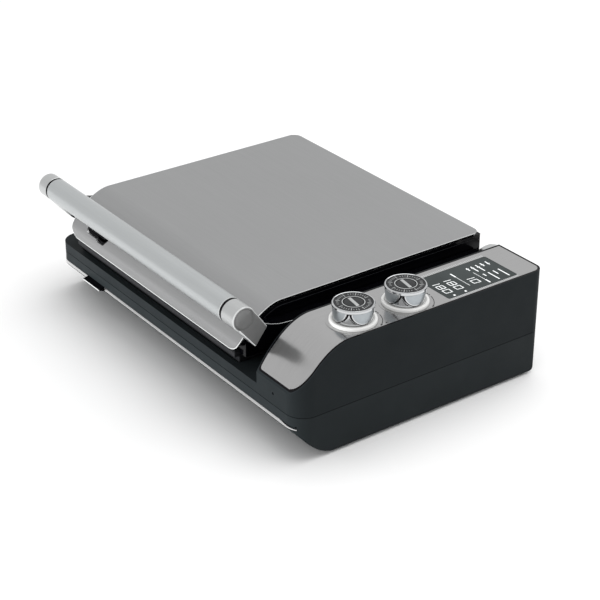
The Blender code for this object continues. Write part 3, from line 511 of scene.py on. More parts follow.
def strip_ring(name, inner, outer, low, high):
    """Strip along the casing's front, between two insets of its outline."""
    ring = cut(plan_prism(name, outer, low, high), plan_prism("core", inner, low - 1, high + 1))
    return common(ring, box("reach", (LEFT - OVER, FRONT - OVER, low - 2), (RIGHT - 8, FRONT + 13, high + 2)))


TRAY_TOP = 32.0


def lower_casing():
    """Hull, hollow inside, with the tray's slot, the strip's groove, the inlet and vents."""
    shell = hull_form("lower_casing_skin")
    side, gap = 9.0, 0.3
    room = box("room", (LEFT + side, FRONT + 58, HULL_LOW.z + 3), (RIGHT - side, BACK - 4, SEAM + OVER))
    nose = box("nose", (LEFT + side, FRONT + 4, BOW_TOP + 1), (RIGHT - side, FRONT + 62, SEAM + OVER))
    slot = box("slot", (TRAY_LOW.x - 2 * gap, FRONT - OVER, TRAY_LOW.z - gap),
               (TRAY_HIGH.x + 2 * gap, FRONT + 62, TRAY_TOP + gap))
    tab_low, tab_high = (TAB[0] - 2 * gap, FRONT - OVER, TRAY_TOP - 2), TAB[1] + 2 * gap
    tab = box("tab", tab_low, (tab_high, FRONT + 16, BOW_TOP))
    lip = box("lip", tab_low, (tab_high, FRONT + 3.4, STRIP_HIGH.z + 2 * gap))
    groove = strip_ring("groove", 1.5, -2.0, STRIP_LOW.z - gap, STRIP_HIGH.z + gap)
    inlet = box("inlet", (INLET_LOW.x - gap, BACK - 12, INLET_LOW.z - gap),
                (INLET_HIGH.x + gap, BACK + 9, INLET_HIGH.z + gap))
    vents = [box("vent", (LEFT + 150 + 18 * k, FRONT + 120, -1), (LEFT + 156 + 18 * k, FRONT + 190, 8))
             for k in range(6)]
    cut(shell, room, nose, slot, tab, lip, groove, inlet, *vents)
    soften(shell, 0.35, 2)
    add(shell, "hull", "base", ["lower_casing"])


def panel_solid(name, depth, proud, grow):
    """Sheet that follows the block's front and top; grow widens its outline."""
    bottom = 76.5 - grow
    left, right = PANEL_LOW.x - grow, PANEL_HIGH.x + grow
    margin = RIGHT - right
    path = [(FRONT, 68.5)] + block_path()[1:]
    sheet = prism(name, band(path, depth, proud), "YZ", left, RIGHT + 4)
    centre = (RIGHT - CORNER, FRONT + CORNER)
    bend = [polar(centre, CORNER - margin, 4 * k - 80) for k in range(21)]
    back = PANEL_HIGH.y + grow
    outline = [(left, FRONT - 6), (bend[0][0], FRONT - 6)] + bend
    corner = [(right, FRONT + 60), (right, back), (left, back)]
    outline += rounded(corner, [0, BACK_CORNER - margin, 0], 12)[1:]
    foot = [(left, bottom), (RIGHT + 9, bottom), (RIGHT + 9, 140), (left, 140)]
    edge = prism("edge", rounded(foot, [3.0, 0, 0, 0]), "XZ", FRONT - 8, BACK + 8)
    return common(sheet, prism("plan", outline, "XY", 0, 140), edge)


def stem_holes():
    return [cylinder("stem", (x, y, 100), (x, y, 130), STEM_R) for x, y, _, _ in KNOBS.values()]


def upper_casing():
    """Rim round the lower plate and the control block, hollow inside."""
    rim = plan_prism("upper_casing_skin", 0.0, SEAM, DECK)
    block = prism("block", block_path() + [(BACK, SEAM)], "YZ", BLOCK_LEFT, RIGHT + 1)
    join(rim, common(block, plan_prism("plan", 0.0, 0, 130)))
    under = box("under", (LEFT + WALL, FRONT + WALL + 1, SEAM - OVER),
                (BLOCK_LEFT - 1, BACK - WALL, DECK - WALL))
    common(under, plan_prism("plan", WALL, 0, 130))
    roof = 3.6
    inner = [(y, z) for y, z in shifted(block_path(), roof) if y < BACK - WALL - 2]
    inner = [(inner[0][0], SEAM - OVER)] + inner
    inner += [(BACK - WALL, BLOCK_TOP - roof), (BACK - WALL, SEAM - OVER)]
    room = prism("room", inner, "YZ", BLOCK_LEFT + WALL, RIGHT - WALL)
    common(room, plan_prism("plan", WALL, 0, 130))
    outline = rectangle(LOWER_PLATE_LOW, LOWER_PLATE_HIGH, 4.0, PLATE_GAP)
    well = prism("well", outline, "XY", SEAM - OVER, DECK + OVER)
    pocket = hinge_bore(LEFT - OVER, BLOCK_LEFT, 27.6)
    recess = panel_solid("recess", 1.5, 4.0, 0.3)
    window = box("window", (WINDOW_LOW.x + 2, WINDOW_LOW.y + 2, 100),
                 (WINDOW_HIGH.x - 2, WINDOW_HIGH.y - 2, 130))
    reset = cylinder("reset", (RIGHT - 40.4, FRONT - OVER, 61.5), (RIGHT - 40.4, FRONT + 6, 61.5), 1.4)
    key = box("key", (LEFT - OVER, LOWER_KEY_LOW.y - 0.4, LOWER_KEY_LOW.z - 0.4),
              (LEFT + OVER, LOWER_KEY_HIGH.y + 0.4, LOWER_KEY_HIGH.z + 0.4))
    groove = box("groove", (LEFT - OVER, FRONT - OVER, SEAM - OVER),
                 (RIGHT + OVER, BACK + OVER, SEAM + JOINT))
    cut(rim, under, room, well, pocket, recess, window, *stem_holes(), reset, key, groove)
    soften(rim, 0.5)
    add(rim, "charcoal", "base", ["upper_casing"])


def seam_lines():
    """Dark joint between the lower hull and the rim."""
    outer = plan_prism("hull_joint", 0.35, SEAM - 1.2, SEAM + 1.2)
    cut(outer, plan_prism("core", 3.0, 40, 60), hinge_bore(LEFT - OVER, BLOCK_LEFT, 28.2))
    add(outer, "black_trim", "base")


def control_panel():
    """Bent satin sheet on the block, with the window's opening and the knobs' holes."""
    panel = panel_solid("control_panel_skin", 1.2, 0.15, 0.0)
    window = prism("window", rectangle(WINDOW_LOW, WINDOW_HIGH, 2.5, 0.3), "XY", 100, 130)
    cut(panel, window, *stem_holes())
    soften(panel, 0.6)
    add(panel, "panel_metal", "base", ["control_panel"])
    # Painted highlight on the panel's rounded edges.
    paint_edge_highlights(panel)


def panel_outline():
    """Gloss black line round the panel, between it and the casing's edge."""
    line = panel_solid("panel_outline", 0.5, 0.06, 1.9)
    cut(line, panel_solid("core", 3.0, 3.0, 0.1))
    add(line, "black_gloss", "base")


def knob_washers():
    """Flat metal washer on the panel round each light ring, cut straight at the panel's edge."""
    low, high = PANEL_HIGH.z - 0.4, PANEL_HIGH.z + 0.25
    for tag, (x, y, _, _) in KNOBS.items():
        outer = node_box(f"light_ring_{tag}")[1].x - x + 3.6
        inner = outer - 3.3
        profile = [(inner, high), (outer, high), (outer, low), (inner, low)]
        washer = turned(f"knob_washer_{tag}", profile, (x, y, 0), steps=128, closed=True)
        ends = (PANEL_LOW.x, FRONT, low - OVER), (PANEL_HIGH.x - 1.3, BACK, high + OVER)
        common(washer, box("panel", *ends))
        soften(washer, 0.12, 2)
        add(washer, "washer_metal", "base")


def drip_tray():
    """Tray whose front carries on the hull's underside, with a dark pull tab whose silver lip is coloured
    pale to paint its highlight.
    """
    low, high = TRAY_LOW, TRAY_HIGH
    wall = 2.5
    body = hull_form("tray_body")
    common(body, box("front", (low.x, FRONT - 6, low.z), (high.x, FRONT + 60, TRAY_TOP)))
    join(body, box("pan", (low.x, FRONT + 50, low.z), (high.x, high.y, TRAY_TOP - 8)))
    cut(body, box("basin", (low.x + wall, FRONT + 34, low.z + wall),
                  (high.x - wall, high.y - wall, TRAY_TOP + 5)))
    soften(body, 0.4, 2)
    add(body, "hull", "tray", ["drip_tray"])
    lip, nose = STRIP_HIGH.z, FRONT - 6.2
    side = [(FRONT + 13.9, TRAY_TOP - 2.0), (FRONT + 13.9, TRAY_TOP - 0.1), (FRONT + 2.8, TRAY_TOP + 3.2),
            (FRONT + 2.8, lip + 0.2), (FRONT - 0.4, lip + 0.2), (nose, lip - 1.0), (nose, lip - 2.4),
            (FRONT + 1.6, TRAY_TOP + 2.4)]
    tab = prism("tray_tab", side, "YZ", *TAB)
    soften(tab, 0.3)
    add(tab, "black_gloss", "tray")
    # Silver lip of the tab, in a pale diffuse material that paints its highlight.
    bar = box("tray_tab_lip", (TAB[0], nose - 0.3, lip - 2.75), (TAB[1], nose + 0.8, lip - 1.55))
    join(bar, box("end", (TAB[1] - 0.5, nose + 0.6, lip - 2.75), (TAB[1], FRONT - 1.0, lip - 2.1)))
    soften(bar, 0.15, 2)
    add(bar, "painted_highlight", "tray")


def trim_strips():
    """Satin strip along the front, in two lengths either side of the tab, tapered at its right end."""
    start, end = RIGHT - 30, RIGHT - 7
    top = STRIP_HIGH.z + 3
    taper = [(start, STRIP_HIGH.z + 0.01), (end, STRIP_LOW.z + 0.7), (end, top), (start, top)]
    for node in ("front_trim_strip", "front_trim_strip_left"):
        low, high = node_box(node)
        strip = strip_ring(node + "_bar", 1.2, -0.4, STRIP_LOW.z, STRIP_HIGH.z)
        common(strip, box("length", (low.x - 0.01, FRONT - 5, 30), (high.x + 0.01, FRONT + 30, 45)))
        cut(strip, prism("taper", taper, "XZ", FRONT - 8, FRONT + 30))
        soften(strip, 0.3, 2)
        add(strip, "strip_metal", "base", [node])


# ---- display and prints on the panel

SEGMENTS = {"0": "abcdef", "1": "bc", "8": "abcdefg"}
SEGMENT_ENDS = {"a": ((0, 1), (1, 1)), "b": ((1, 1), (1, 0.5)), "c": ((1, 0.5), (1, 0)),
                "d": ((0, 0), (1, 0)), "e": ((0, 0.5), (0, 0)), "f": ((0, 1), (0, 0.5)),
                "g": ((0, 0.5), (1, 0.5))}
# Digits of a row, their places across the window, the row's place along it and their height.
ROWS = (("180", (11.5, 21.8, 31.4), 5.0, 7.4), ("180", (11.5, 21.8, 31.4), 19.0, 7.4),
        ("10", (21.2, 31.4), 40.6, 7.8))
SCALES = (55.0, 60.8, 67.0, 73.4, 80.0)  # places of the five short scales along the window
# Bars across the window: left end, right end, place along the window and width.
BARS = ((9, 17, 34.6, 1.6), (38, 45, 55.0, 1.6), (43.8, 46.2, 9.2, 2.2), (43.8, 46.2, 23.4, 2.2),
        (9, 15, 55.0, 1.3), (9, 21, 60.8, 1.3), (9, 23.5, 67.0, 1.3), (8.5, 15.5, 73.4, 1.3),
        (8.5, 16, 80.0, 1.3), (27.5, 32.5, 60.8, 1.3), (28, 45, 67.0, 1.3), (28, 36, 73.4, 1.3),
        (28, 45, 80.0, 1.3), (17, 38.5, 34.4, 0.5), (20, 38, 54.8, 0.5))


def digit(char, corner, tall, low, high):
    """Seven-bar digit. corner is its front left corner; it reads along X with its top towards Y."""
    wide, stroke, lean = 6.3, 0.95, 0.12
    bars = []
    for key in SEGMENTS[char]:
        start, end = (Vector((corner[0] + u * wide + v * tall * lean, corner[1] + v * tall))
                      for u, v in SEGMENT_ENDS[key])
        reach = (end - start).normalized() * (stroke / 2)
        bars.append(flat_bar("stroke", start - reach, end + reach, stroke, low, high))
    return bars


def display():
    """Smoked window with rounded corners and raised pale digits, rules and bars."""
    low, high = WINDOW_LOW, WINDOW_HIGH
    face, top = high.z - 0.12, high.z - 0.04
    pane = prism("display_glass", rectangle(low, high, 2.2), "XY", low.z, face)
    soften(pane, 0.2, 2)
    add(pane, "glass", "base", ["display_window"])
    marks = []
    for text, columns, row, tall in ROWS:
        for char, column in zip(text, columns):
            marks += digit(char, (low.x + column, low.y + row), tall, face, top)
    for start, end, row, width in BARS:
        ends = [(low.x + x, low.y + row) for x in (start, end)]
        marks.append(flat_bar("bar", *ends, width, face, top))
    for k, row in enumerate(SCALES):
        x, y = low.x + 11 + 1.4 * k % 3, low.y + row
        marks.append(flat_bar("stem", (x, y - 1.6), (x, y + 1.6), 0.9, face, top))
    add(merged("display_marks", marks), "digit_light", "base")


def side_borders():
    """Ribbed pale borders that run along both long sides of the window."""
    low, high = PANEL_HIGH.z - 0.2, PANEL_HIGH.z + 0.08
    pitch = 2.4
    for name, x0, x1 in (("display_border_left", WINDOW_LOW.x - 4.2, WINDOW_LOW.x - 0.7),
                         ("display_border_right", WINDOW_HIGH.x + 0.5, PANEL_HIGH.x - 0.5)):
        places = [WINDOW_LOW.y + 1.4 + pitch * k for k in range(36)]
        ribs = [flat_bar("rib", (x0, y), (x1, y), 1.05, low, high) for y in places]
        add(merged(name, ribs), "pale_print", "base")


def panel_prints():
    """Turning arcs, their arrow heads and a dot beside the knobs."""
    low, high = PANEL_HIGH.z - 0.2, PANEL_HIGH.z + 0.05
    radius = 27.4
    marks = []
    for x, y, _, _ in KNOBS.values():
        marks.append(arc_bar("arc", (x, y), radius, 36, 78, 0.7, low, high))
        tip = [polar((x, y), r, a) for r, a in ((28.6, 37), (26.2, 37), (27.3, 31.5))]
        marks.append(prism("tip", tip, "XY", low, high))
        for first in (83, 89.5, 96):
            marks.append(arc_bar("dash", (x, y), radius, first, first + 4, 1.5, low, high, 4))
    spot = polar(KNOBS["front"][:2], 31.2, 46)
    marks.append(prism("spot", [polar(spot, 1.0, 22.5 * k) for k in range(16)], "XY", low, high))
    add(merged("panel_prints", marks), "print", "base")


# ---- knobs

BARREL_R, GRIP_R = 18.8, 20.0
GRIP_CORE = 18.0  # radius at which the grips and the painted shadow lines round them begin
GRIP_TURN = -5.0  # degrees


def sleeve(tag, wide, narrow, inner, top, bottom):
    """Tapered ring about a knob's axis."""
    x, y, _, _ = KNOBS[tag]
    profile = [(wide, top), (narrow, bottom), (inner, bottom), (inner, top)]
    return turned("sleeve", profile, (x, y, 0), steps=140, closed=True)


def grip_prism(name, tag, quarter, rise, half, drop):
    """U-shaped prism that points outwards from a knob's axis, turned by quarters."""
    x, y, _, top = KNOBS[tag]
    angles = [math.pi * k / 40 for k in range(41)]
    outline = [(x + half * math.cos(a), top - rise - drop * math.sin(a)) for a in angles]
    obj = prism(name, outline, "XZ", y + 12.0, y + 26.0)
    axis = Matrix.Translation((x * MM, y * MM, 0))
    turn = Matrix.Rotation(math.radians(GRIP_TURN + 90 * quarter), 4, "Z")
    obj.data.transform(axis @ turn @ axis.inverted())
    return obj


def knob(tag):
    """Bright rim and barrel, with four U-shaped satin grips standing proud, each ringed by a black line that
    paints the shadow under its edge.
    """
    x, y, low, top = KNOBS[tag]
    profile = [(0.0, top - 4.6), (18.9, top - 4.6), (18.9, top - 0.2), (19.3, top), (20.0, top - 0.15),
               (20.5, top - 0.9), (20.5, top - 2.8), (20.2, top - 3.3), (GRIP_R, top - 3.6),
               (GRIP_R - 0.4, low + 0.6), (GRIP_R - 1.0, low), (3.4, low), (3.4, low + 7.2), (0.0, low + 7.2)]
    body = turned(f"knob_{tag}_metal", profile, (x, y, 0), steps=128)
    waste = sleeve(tag, 24.0, 24.0, BARREL_R, top - 3.6, low - 2)
    cut(waste, *[grip_prism("grip", tag, k, 3.2, 12.2, 11.9) for k in range(4)])
    cut(body, waste)
    soften(body, 0.22, 3, 30)
    add(body, "chrome", f"{tag}_knob", [f"knob_{tag}"])
    for k in range(4):
        pad = grip_prism(f"grip_{tag}_{k}", tag, k, 3.2, 11.3, 11.0)
        common(pad, sleeve(tag, GRIP_R + 0.02, GRIP_R - 0.36, GRIP_CORE, top - 3.7, low + 1.2))
        soften(pad, 0.2, 2, 30)
        add(pad, "grip_metal", f"{tag}_knob")
        # Black line round each grip's edge: painted shadow under the grip.
        edge = grip_prism(f"grip_painted_shadow_{tag}_{k}", tag, k, 3.0, 13.3, 12.9)
        common(edge, sleeve(tag, 19.25, 19.25, GRIP_CORE, top - 3.7, low + 0.35))
        add(edge, "black_trim", f"{tag}_knob")


def dial(tag):
    """Dark dial with pale ticks of two lengths and a thin circle."""
    x, y, _, top = KNOBS[tag]
    face = top - 0.35
    low, high = face - 0.1, face + 0.1
    profile = [(10.2, face - 3.9), (10.2, face), (18.3, face), (18.6, face - 0.3), (18.6, face - 3.9)]
    plate = turned(f"dial_{tag}_face", profile, (x, y, 0), steps=128, closed=True)
    add(plate, "button_face", f"{tag}_knob", [f"dial_{tag}"])
    circle = [(10.25, face + 0.12), (10.95, face + 0.12), (10.95, low), (10.25, low)]
    marks = [turned("circle", circle, (x, y, 0), closed=True)]
    for k in range(40):
        if k % 10 == 9:
            continue
        first, last, width = (12.8, 17.2, 0.55) if k % 5 == 0 else (14.2, 16.4, 0.35)
        ends = [polar((x, y), r, 9 * k) for r in (first, last)]
        marks.append(flat_bar("tick", *ends, width, low, high))
    add(merged(f"dial_{tag}_marks", marks), "pale_print", f"{tag}_knob")


def button(tag):
    """Push button in the middle of a knob, with a raised pointer across it."""
    x, y, _, top = KNOBS[tag]
    face, foot = top - 0.4, top - 3.2
    profile = [(0.0, face), (8.8, face), (9.3, face - 0.15), (9.5, face - 0.5), (9.5, foot), (0.0, foot)]
    body = turned(f"button_{tag}", profile, (x, y, 0))
    add(body, "button_face", f"{tag}_button", [f"knob_button_{tag}"])
    lean, reach = -9, 8.6
    ends = [polar((x, y), side * reach, lean) for side in (-1, 1)]
    pointer = flat_bar(f"pointer_{tag}", *ends, 3.4, face - 0.3, top)
    soften(pointer, 0.3)
    add(pointer, "cap_metal", f"{tag}_button")


def light_ring(tag):
    """Milky ring with a rounded outer edge, open in the middle for the knob's stem."""
    x, y, _, _ = KNOBS[tag]
    low, high = node_box(f"light_ring_{tag}")
    r, base, top = high.x - x, low.z, high.z
    profile = [(r - 1.0, top), (r - 0.4, top - 0.25), (r - 0.1, top - 0.7), (r, top - 1.3), (r, base),
               (5.0, base), (5.0, top - 1.2), (19.2, top - 1.2), (19.8, top - 0.4), (20.4, top)]
    ring = turned(f"light_ring_{tag}_body", profile, (x, y, 0), steps=128, closed=True)
    add(ring, "ring_light", "base", [f"light_ring_{tag}"])


# ---- lid

EDGE_LINE = 0.8  # width of the painted highlight line round the cover's front


def lid_path(bottom, back):
    """Side view of the lid's skin, from its foot up the front and along its top."""
    rise = [(COVER_LOW.y + y, z) for y, z in bezier(LID_BEND)]
    return [(COVER_LOW.y, bottom)] + rise + [(back, COVER_HIGH.z)]


def lid_body(name, inset, bottom, depth, corner):
    """Solid lid form, a depth under the skin: side profile cut to a plan with round back corners."""
    side = shifted(lid_path(bottom, COVER_HIGH.y), depth)
    side[0] = (side[0][0], bottom)
    side.append((side[-1][0], bottom))
    x0, x1, y0, y1 = COVER_LOW.x + inset, COVER_HIGH.x - inset, COVER_LOW.y - 9, COVER_HIGH.y - inset
    radius = corner - inset
    plan = rounded([(x0, y0), (x1, y0), (x1, y1), (x0, y1)], [0, 0, radius, radius], 12)
    return common(prism(name, side, "YZ", x0, x1), prism("plan", plan, "XY", 40, 140))


def below_skin(depth):
    """Cutter for everything further than a depth under the lid's skin."""
    path = shifted(lid_path(LID_BOTTOM - 20, COVER_HIGH.y + 20), depth)
    path.append((path[-1][0], LID_BOTTOM - 20))
    return prism("below", path, "YZ", COVER_LOW.x - 9, COVER_HIGH.x + 9)


def lid_face(inset=0.0):
    """The cover's outline from the front, with round lower corners, as a solid along Y."""
    x0, x1, z = COVER_LOW.x + inset, COVER_HIGH.x - inset, LID_BOTTOM + inset
    radii = [radius - inset for radius in LID_CORNERS] + [0, 0]
    outline = rounded([(x0, z), (x1, z), (x1, 150), (x0, 150)], radii, 14)
    return prism("face", outline, "XZ", COVER_LOW.y - 9, COVER_HIGH.y + 9)


def release_opening(grow):
    """Window for the plate release in the lid's front, with a lower step on its right."""
    left, right = RIGHT - 394.5, RIGHT - 352.0
    foot, step, shoulder, top = 88.0, 86.0, 93.0, 99.0
    outline = [(left - grow, foot - grow), (left + 20, foot - grow), (left + 25, step - grow),
               (right - 6 + grow, step - grow), (right + grow, shoulder), (right + grow, top + grow),
               (left - grow, top + grow)]
    outline = rounded(outline, [4.5, 2, 2, 3, 3, 2, 2], 8)
    return prism("opening", outline, "XZ", COVER_LOW.y - 12, COVER_LOW.y + 24)


def lid_cover():
    """Bent satin sheet over the top and front, with rounded lower front corners."""
    cover = lid_body("lid_skin", 0.0, LID_BOTTOM, 0.0, 10.0)
    cut(cover, below_skin(COVER_T), release_opening(0.0))
    common(cover, lid_face())
    soften(cover, 0.8)
    add(cover, "lid_metal", "lid", ["lid_cover"])
    # Painted highlight on the cover's rounded edges.
    paint_edge_highlights(cover)


def lid_edge():
    """Painted highlight line along the foot of the cover's front and both its sides."""
    line = lid_body("lid_edge_skin", 0.0, LID_BOTTOM, -0.2, 10.0)
    common(line, lid_face())
    cut(line, lid_face(EDGE_LINE), below_skin(COVER_T))
    add(line, "painted_highlight", "lid")


def lid_frame():
    """Gloss black body of the lid, open underneath."""
    body = lid_body("lid_body", BODY_LOW.x - COVER_LOW.x, BODY_LOW.z, COVER_T + COVER_GAP, 3.2)
    left, right, front, base = COVER_LOW.x + 3.5, COVER_HIGH.x - 3.5, COVER_LOW.y, 40
    room = box("room", (left, front + 22, base), (right, COVER_HIGH.y - 4, 113))
    nose = box("nose", (left, front + 9, base), (right, front + 30, 96))
    latch = box("latch", (RIGHT - 400, front - 5, 82), (RIGHT - 346, front + 30, 101))
    foot = box("foot", (COVER_LOW.x - 5, front - 9, base), (COVER_HIGH.x + 5, front + 6.4, 87))
    lip = box("lip", (UPPER_PLATE_LOW.x - PLATE_GAP, front - 9, base),
              (UPPER_PLATE_HIGH.x + PLATE_GAP, front + 12, 73.6))
    cut(body, room, nose, latch, foot, lip)
    soften(body, 0.35, 2)
    add(body, "black_gloss", "lid", ["lid_frame"])


def release_parts():
    """Dark lining of the release's window, and the ribbed release key in it."""
    lining = box("release_lining", (RIGHT - 399.5, COVER_LOW.y + 0.4, 82.5),
                 (RIGHT - 346.5, COVER_LOW.y + 20, 100.6))
    common(lining, below_skin(COVER_T + COVER_GAP))
    cut(lining, release_opening(-2.0))
    soften(lining, 0.4)
    add(lining, "black_trim", "lid", ["release_bezel"])
    low, high = node_box("upper_plate_release")
    key = box("release_key", low, high)
    starts = [low.x + 4 + 3.4 * k for k in range(7)]
    cut(key, *[box("rib", (x, low.y - 1, low.z + 0.9), (x + 1.4, low.y + 0.7, high.z - 0.9)) for x in starts])
    soften(key, 0.35)
    add(key, "black_matte", "upper_release", ["upper_plate_release"])


def arm(side):
    """Side arm from the handle to the hinge, seated round the drum."""
    low, high = node_box(f"{side}_arm")
    outline = [(FRONT + 18.5, 111.5), (FRONT + 27.3, 108.0), (FRONT + 37.5, 105.2), (FRONT + 52.0, 104.0),
               (HINGE_Y - 16.0, 104.0), (HINGE_Y - 14.0, 98.0), (HINGE_Y, 98.0), (HINGE_Y, HINGE_Z - 4),
               (HINGE_Y - 26, HINGE_Z - 4), (HINGE_Y - 40, 80.0), (FRONT + 30, 80.0), (FRONT + 16, 84.5),
               (FRONT + 5.0, 93.7)]
    body = prism(f"{side}_arm_body", outline, "YZ", low.x, high.x)
    cut(body, hinge_bore(low.x - OVER, high.x + OVER, 26.15))
    soften(body, 0.8, 4)
    add(body, "black_gloss", "lid", [f"{side}_arm"])


def drum(side):
    """Metal hinge drum with rounded rims and a shallow recess round the shaft on both faces."""
    low, high = node_box(f"{side}_hinge_drum")
    half = [(4.08, 1.2), (9.0, 1.2), (9.6, 0.0), (24.2, 0.0), (25.5, 0.5), (26.0, 1.8)]
    profile = [(r, high.x - depth) for r, depth in half] + [(r, low.x + depth) for r, depth in reversed(half)]
    body = turned(f"{side}_drum", profile, HINGE_AXIS, "X", 128, closed=True)
    add(body, "cap_metal", "lid", [f"{side}_hinge_drum"])


RING_GAP = 0.4  # extra width of the dark joint on each side of its ring
CAP_RIM = 1.0  # chamfer round a cap's outer face


def handle():
    """Satin tube and the dark joint ring at each end of it."""
    x0, x1 = TUBE_LOW.x + RING_GAP, TUBE_HIGH.x - RING_GAP
    r = HANDLE_R
    profile = [(r - 1.6, x1), (r, x1), (r, x0), (r - 1.6, x0)]
    body = turned("handle_grip", profile, HANDLE_AXIS, "X", 128, closed=True)
    soften(body, 0.4, 3, 40)
    add(body, "handle_metal", "lid", ["handle_tube"])
    # Painted highlight on the tube's rounded ends.
    paint_edge_highlights(body)
    for side in ("left", "right"):
        low, high = node_box(f"{side}_handle_ring")
        x0, x1 = low.x - 0.6, high.x + 0.6
        ring = turned(f"{side}_joint", [(0, x1), (r - 0.2, x1), (r - 0.2, x0), (0, x0)], HANDLE_AXIS, "X")
        add(ring, "black_trim", "lid", [f"{side}_handle_ring"])


def bracket(side):
    """End cap of the handle with the neck that runs down to the arm."""
    low, high = node_box(f"{side}_handle_bracket")
    r = HANDLE_R
    inner_face = 2.4 + RING_GAP  # from the tube's end to the cap
    if side == "right":
        outward, x0, x1 = 1.0, TUBE_HIGH.x + inner_face, high.x
        neck0, neck1, rim0, rim1 = x0, x1, 0.3, CAP_RIM
    else:
        outward, x0, x1 = -1.0, low.x, TUBE_LOW.x - inner_face
        neck0, neck1, rim0, rim1 = low.x, high.x, CAP_RIM, 0.3
    profile = [(0, x1), (r - rim1, x1), (r, x1 - rim1), (r, x0 + rim0), (r - rim0, x0), (0, x0)]
    cap = turned(f"{side}_cap", profile, HANDLE_AXIS, "X", 128)
    centre = (HANDLE_Y, HANDLE_Z)
    outline = [polar(centre, r, 45), (FRONT + 18.0, 112.1), (FRONT + 4.4, 94.4),
               polar(centre, -r, 45 + math.degrees(0.35))]
    neck = prism("neck", outline, "YZ", neck0, neck1)
    soften(neck, CAP_RIM, 1)
    if side == "left":
        ends = [(x, HANDLE_Y, HANDLE_Z) for x in (x1, neck1 + OVER)]
        cut(neck, cylinder("grip_room", *ends, r + 0.15, 96))
    join(cap, neck)
    soften(cap, 0.15, 2, 40)
    add(cap, "cap_metal", "lid", [f"{side}_handle_bracket"])
    # Chamfers get a painted highlight line; faces turned straight outward get the darker copy of the cap
    # metal as painted shade.
    paint(cap, "painted_highlight", lambda normal: 0.3 < normal.x * outward < 0.9)
    paint(cap, "shaded_cap_metal", lambda normal: normal.x * outward > 0.9)


def cap_faces():
    """Fine turned circle on the outer face of both end caps."""
    left, right = node_box("left_handle_bracket")[0].x, node_box("right_handle_bracket")[1].x
    for side, x, inside in (("right", right, right - 0.3), ("left", left, left + 0.3)):
        profile = [(9.9, x), (10.2, x), (10.2, inside), (9.9, inside)]
        ring = turned(f"{side}_cap_ring", profile, HANDLE_AXIS, "X", closed=True)
        add(ring, "cap_metal", "lid")


def lid_side_lines():
    """Faint moulded line that follows the lid's top edge on both sides."""
    path = shifted(lid_path(86.0, COVER_HIGH.y - 11.0), 5.4)
    line = band([point for point in path if point[0] > COVER_LOW.y + 10], 0.45, 0.0)
    for side, x0, x1 in (("right", BODY_HIGH.x - 0.4, BODY_HIGH.x + 0.07),
                         ("left", BODY_LOW.x - 0.07, BODY_LOW.x + 0.4)):
        add(prism(f"lid_line_{side}", line, "YZ", x0, x1), "side_line", "lid")


def arm_painted_highlight_beads():
    """Pale bead along the top edge of each arm, next to the handle's neck: a painted highlight on the arm's
    glossy top edge.
    """
    path = ((19.5, 110.95), (27.3, 107.75), (37.5, 104.95), (52.0, 103.75), (90.0, 103.75))
    for side in ("left", "right"):
        low, high = node_box(f"{side}_arm")
        x = high.x - 0.5 if side == "right" else low.x + 0.5
        painted_highlight_bead = wire(f"{side}_arm_painted_highlight_bead", [(x, FRONT + y, z) for y, z in path], 0.4)
        add(painted_highlight_bead, "painted_highlight", "lid")


# ---- plates

BASIN = 10.0  # depth of a plate's basin
STUD = 7.0  # height of a stud above the basin's floor


def waffle_plate(name, face, back, up, body, lip=0.0):
    """Cast plate: rim at height face, basin with rows of tapered studs, closed at height back."""
    low, high = node_box(name)
    front = low.y + lip
    sign = 1.0 if up else -1.0
    middle = ((low.x + high.x) / 2, (front + high.y) / 2)
    width, depth = high.x - low.x, high.y - front
    size = (width - 44.0, depth - 44.0)
    bm = bmesh.new()
    bmesh.ops.create_grid(bm, x_segments=11, y_segments=10, size=0.5)
    bmesh.ops.scale(bm, vec=(*size, 1.0), verts=bm.verts)
    cells = list(bm.faces)
    bmesh.ops.inset_individual(bm, faces=cells, thickness=2.6, depth=0.0)
    bmesh.ops.inset_individual(bm, faces=cells, thickness=1.6, depth=STUD)
    under = BASIN - abs(face - back)
    # Rings from the basin outwards and round to the back: trim off the plate's size, height, front lip.
    rings = [(34.0, BASIN, 0.0), (2.0, BASIN, lip), (0.0, BASIN - 1.0, lip), (0.0, 4.5, lip), (3.0, 3.0, lip),
             (12.0, 3.0, 0.0), (16.0, under, 0.0)]
    pushed = 0.0
    for trim, height, push in rings:
        ring = (width - trim, depth - trim)
        edges = [e for e in bm.edges if e.is_boundary]
        made = bmesh.ops.extrude_edge_only(bm, edges=edges)["geom"]
        for vert in [v for v in made if isinstance(v, bmesh.types.BMVert)]:
            if pushed and vert.co.y < -size[1] / 2 - 1.0:
                vert.co.y += pushed
            vert.co.x *= ring[0] / size[0]
            vert.co.y *= ring[1] / size[1]
            if push and vert.co.y < -ring[1] / 2 + 1.0:
                vert.co.y -= push
            vert.co.z = height
        size = ring
        pushed = push
    bmesh.ops.holes_fill(bm, edges=[e for e in bm.edges if e.is_boundary], sides=0)
    for vert in bm.verts:
        vert.co.z = face + sign * (vert.co.z - BASIN)
    bmesh.ops.translate(bm, vec=(*middle, 0.0), verts=bm.verts)
    bmesh.ops.recalc_face_normals(bm, faces=bm.faces)
    plate = make(name + "_cast", bm)
    soften(plate, 0.55, 3, 20)
    add(plate, "nonstick", body, [name])


# ---- small details

def inlet_pins():
    """Three flat contacts inside the power inlet."""
    low, high = INLET_LOW, INLET_HIGH
    x, _, z = (low + high) / 2
    pins = [box("pin", (x + dx - 1.1, low.y + 2.9, z + dz - 2.2), (x + dx + 1.1, high.y - 5.5, z + dz + 2.2))
            for dx, dz in ((-6.5, -1.8), (0.0, 2.2), (6.5, -1.8))]
    body = merged("inlet_contacts", pins)
    soften(body, 0.3, 2)
    add(body, "chrome", "base")


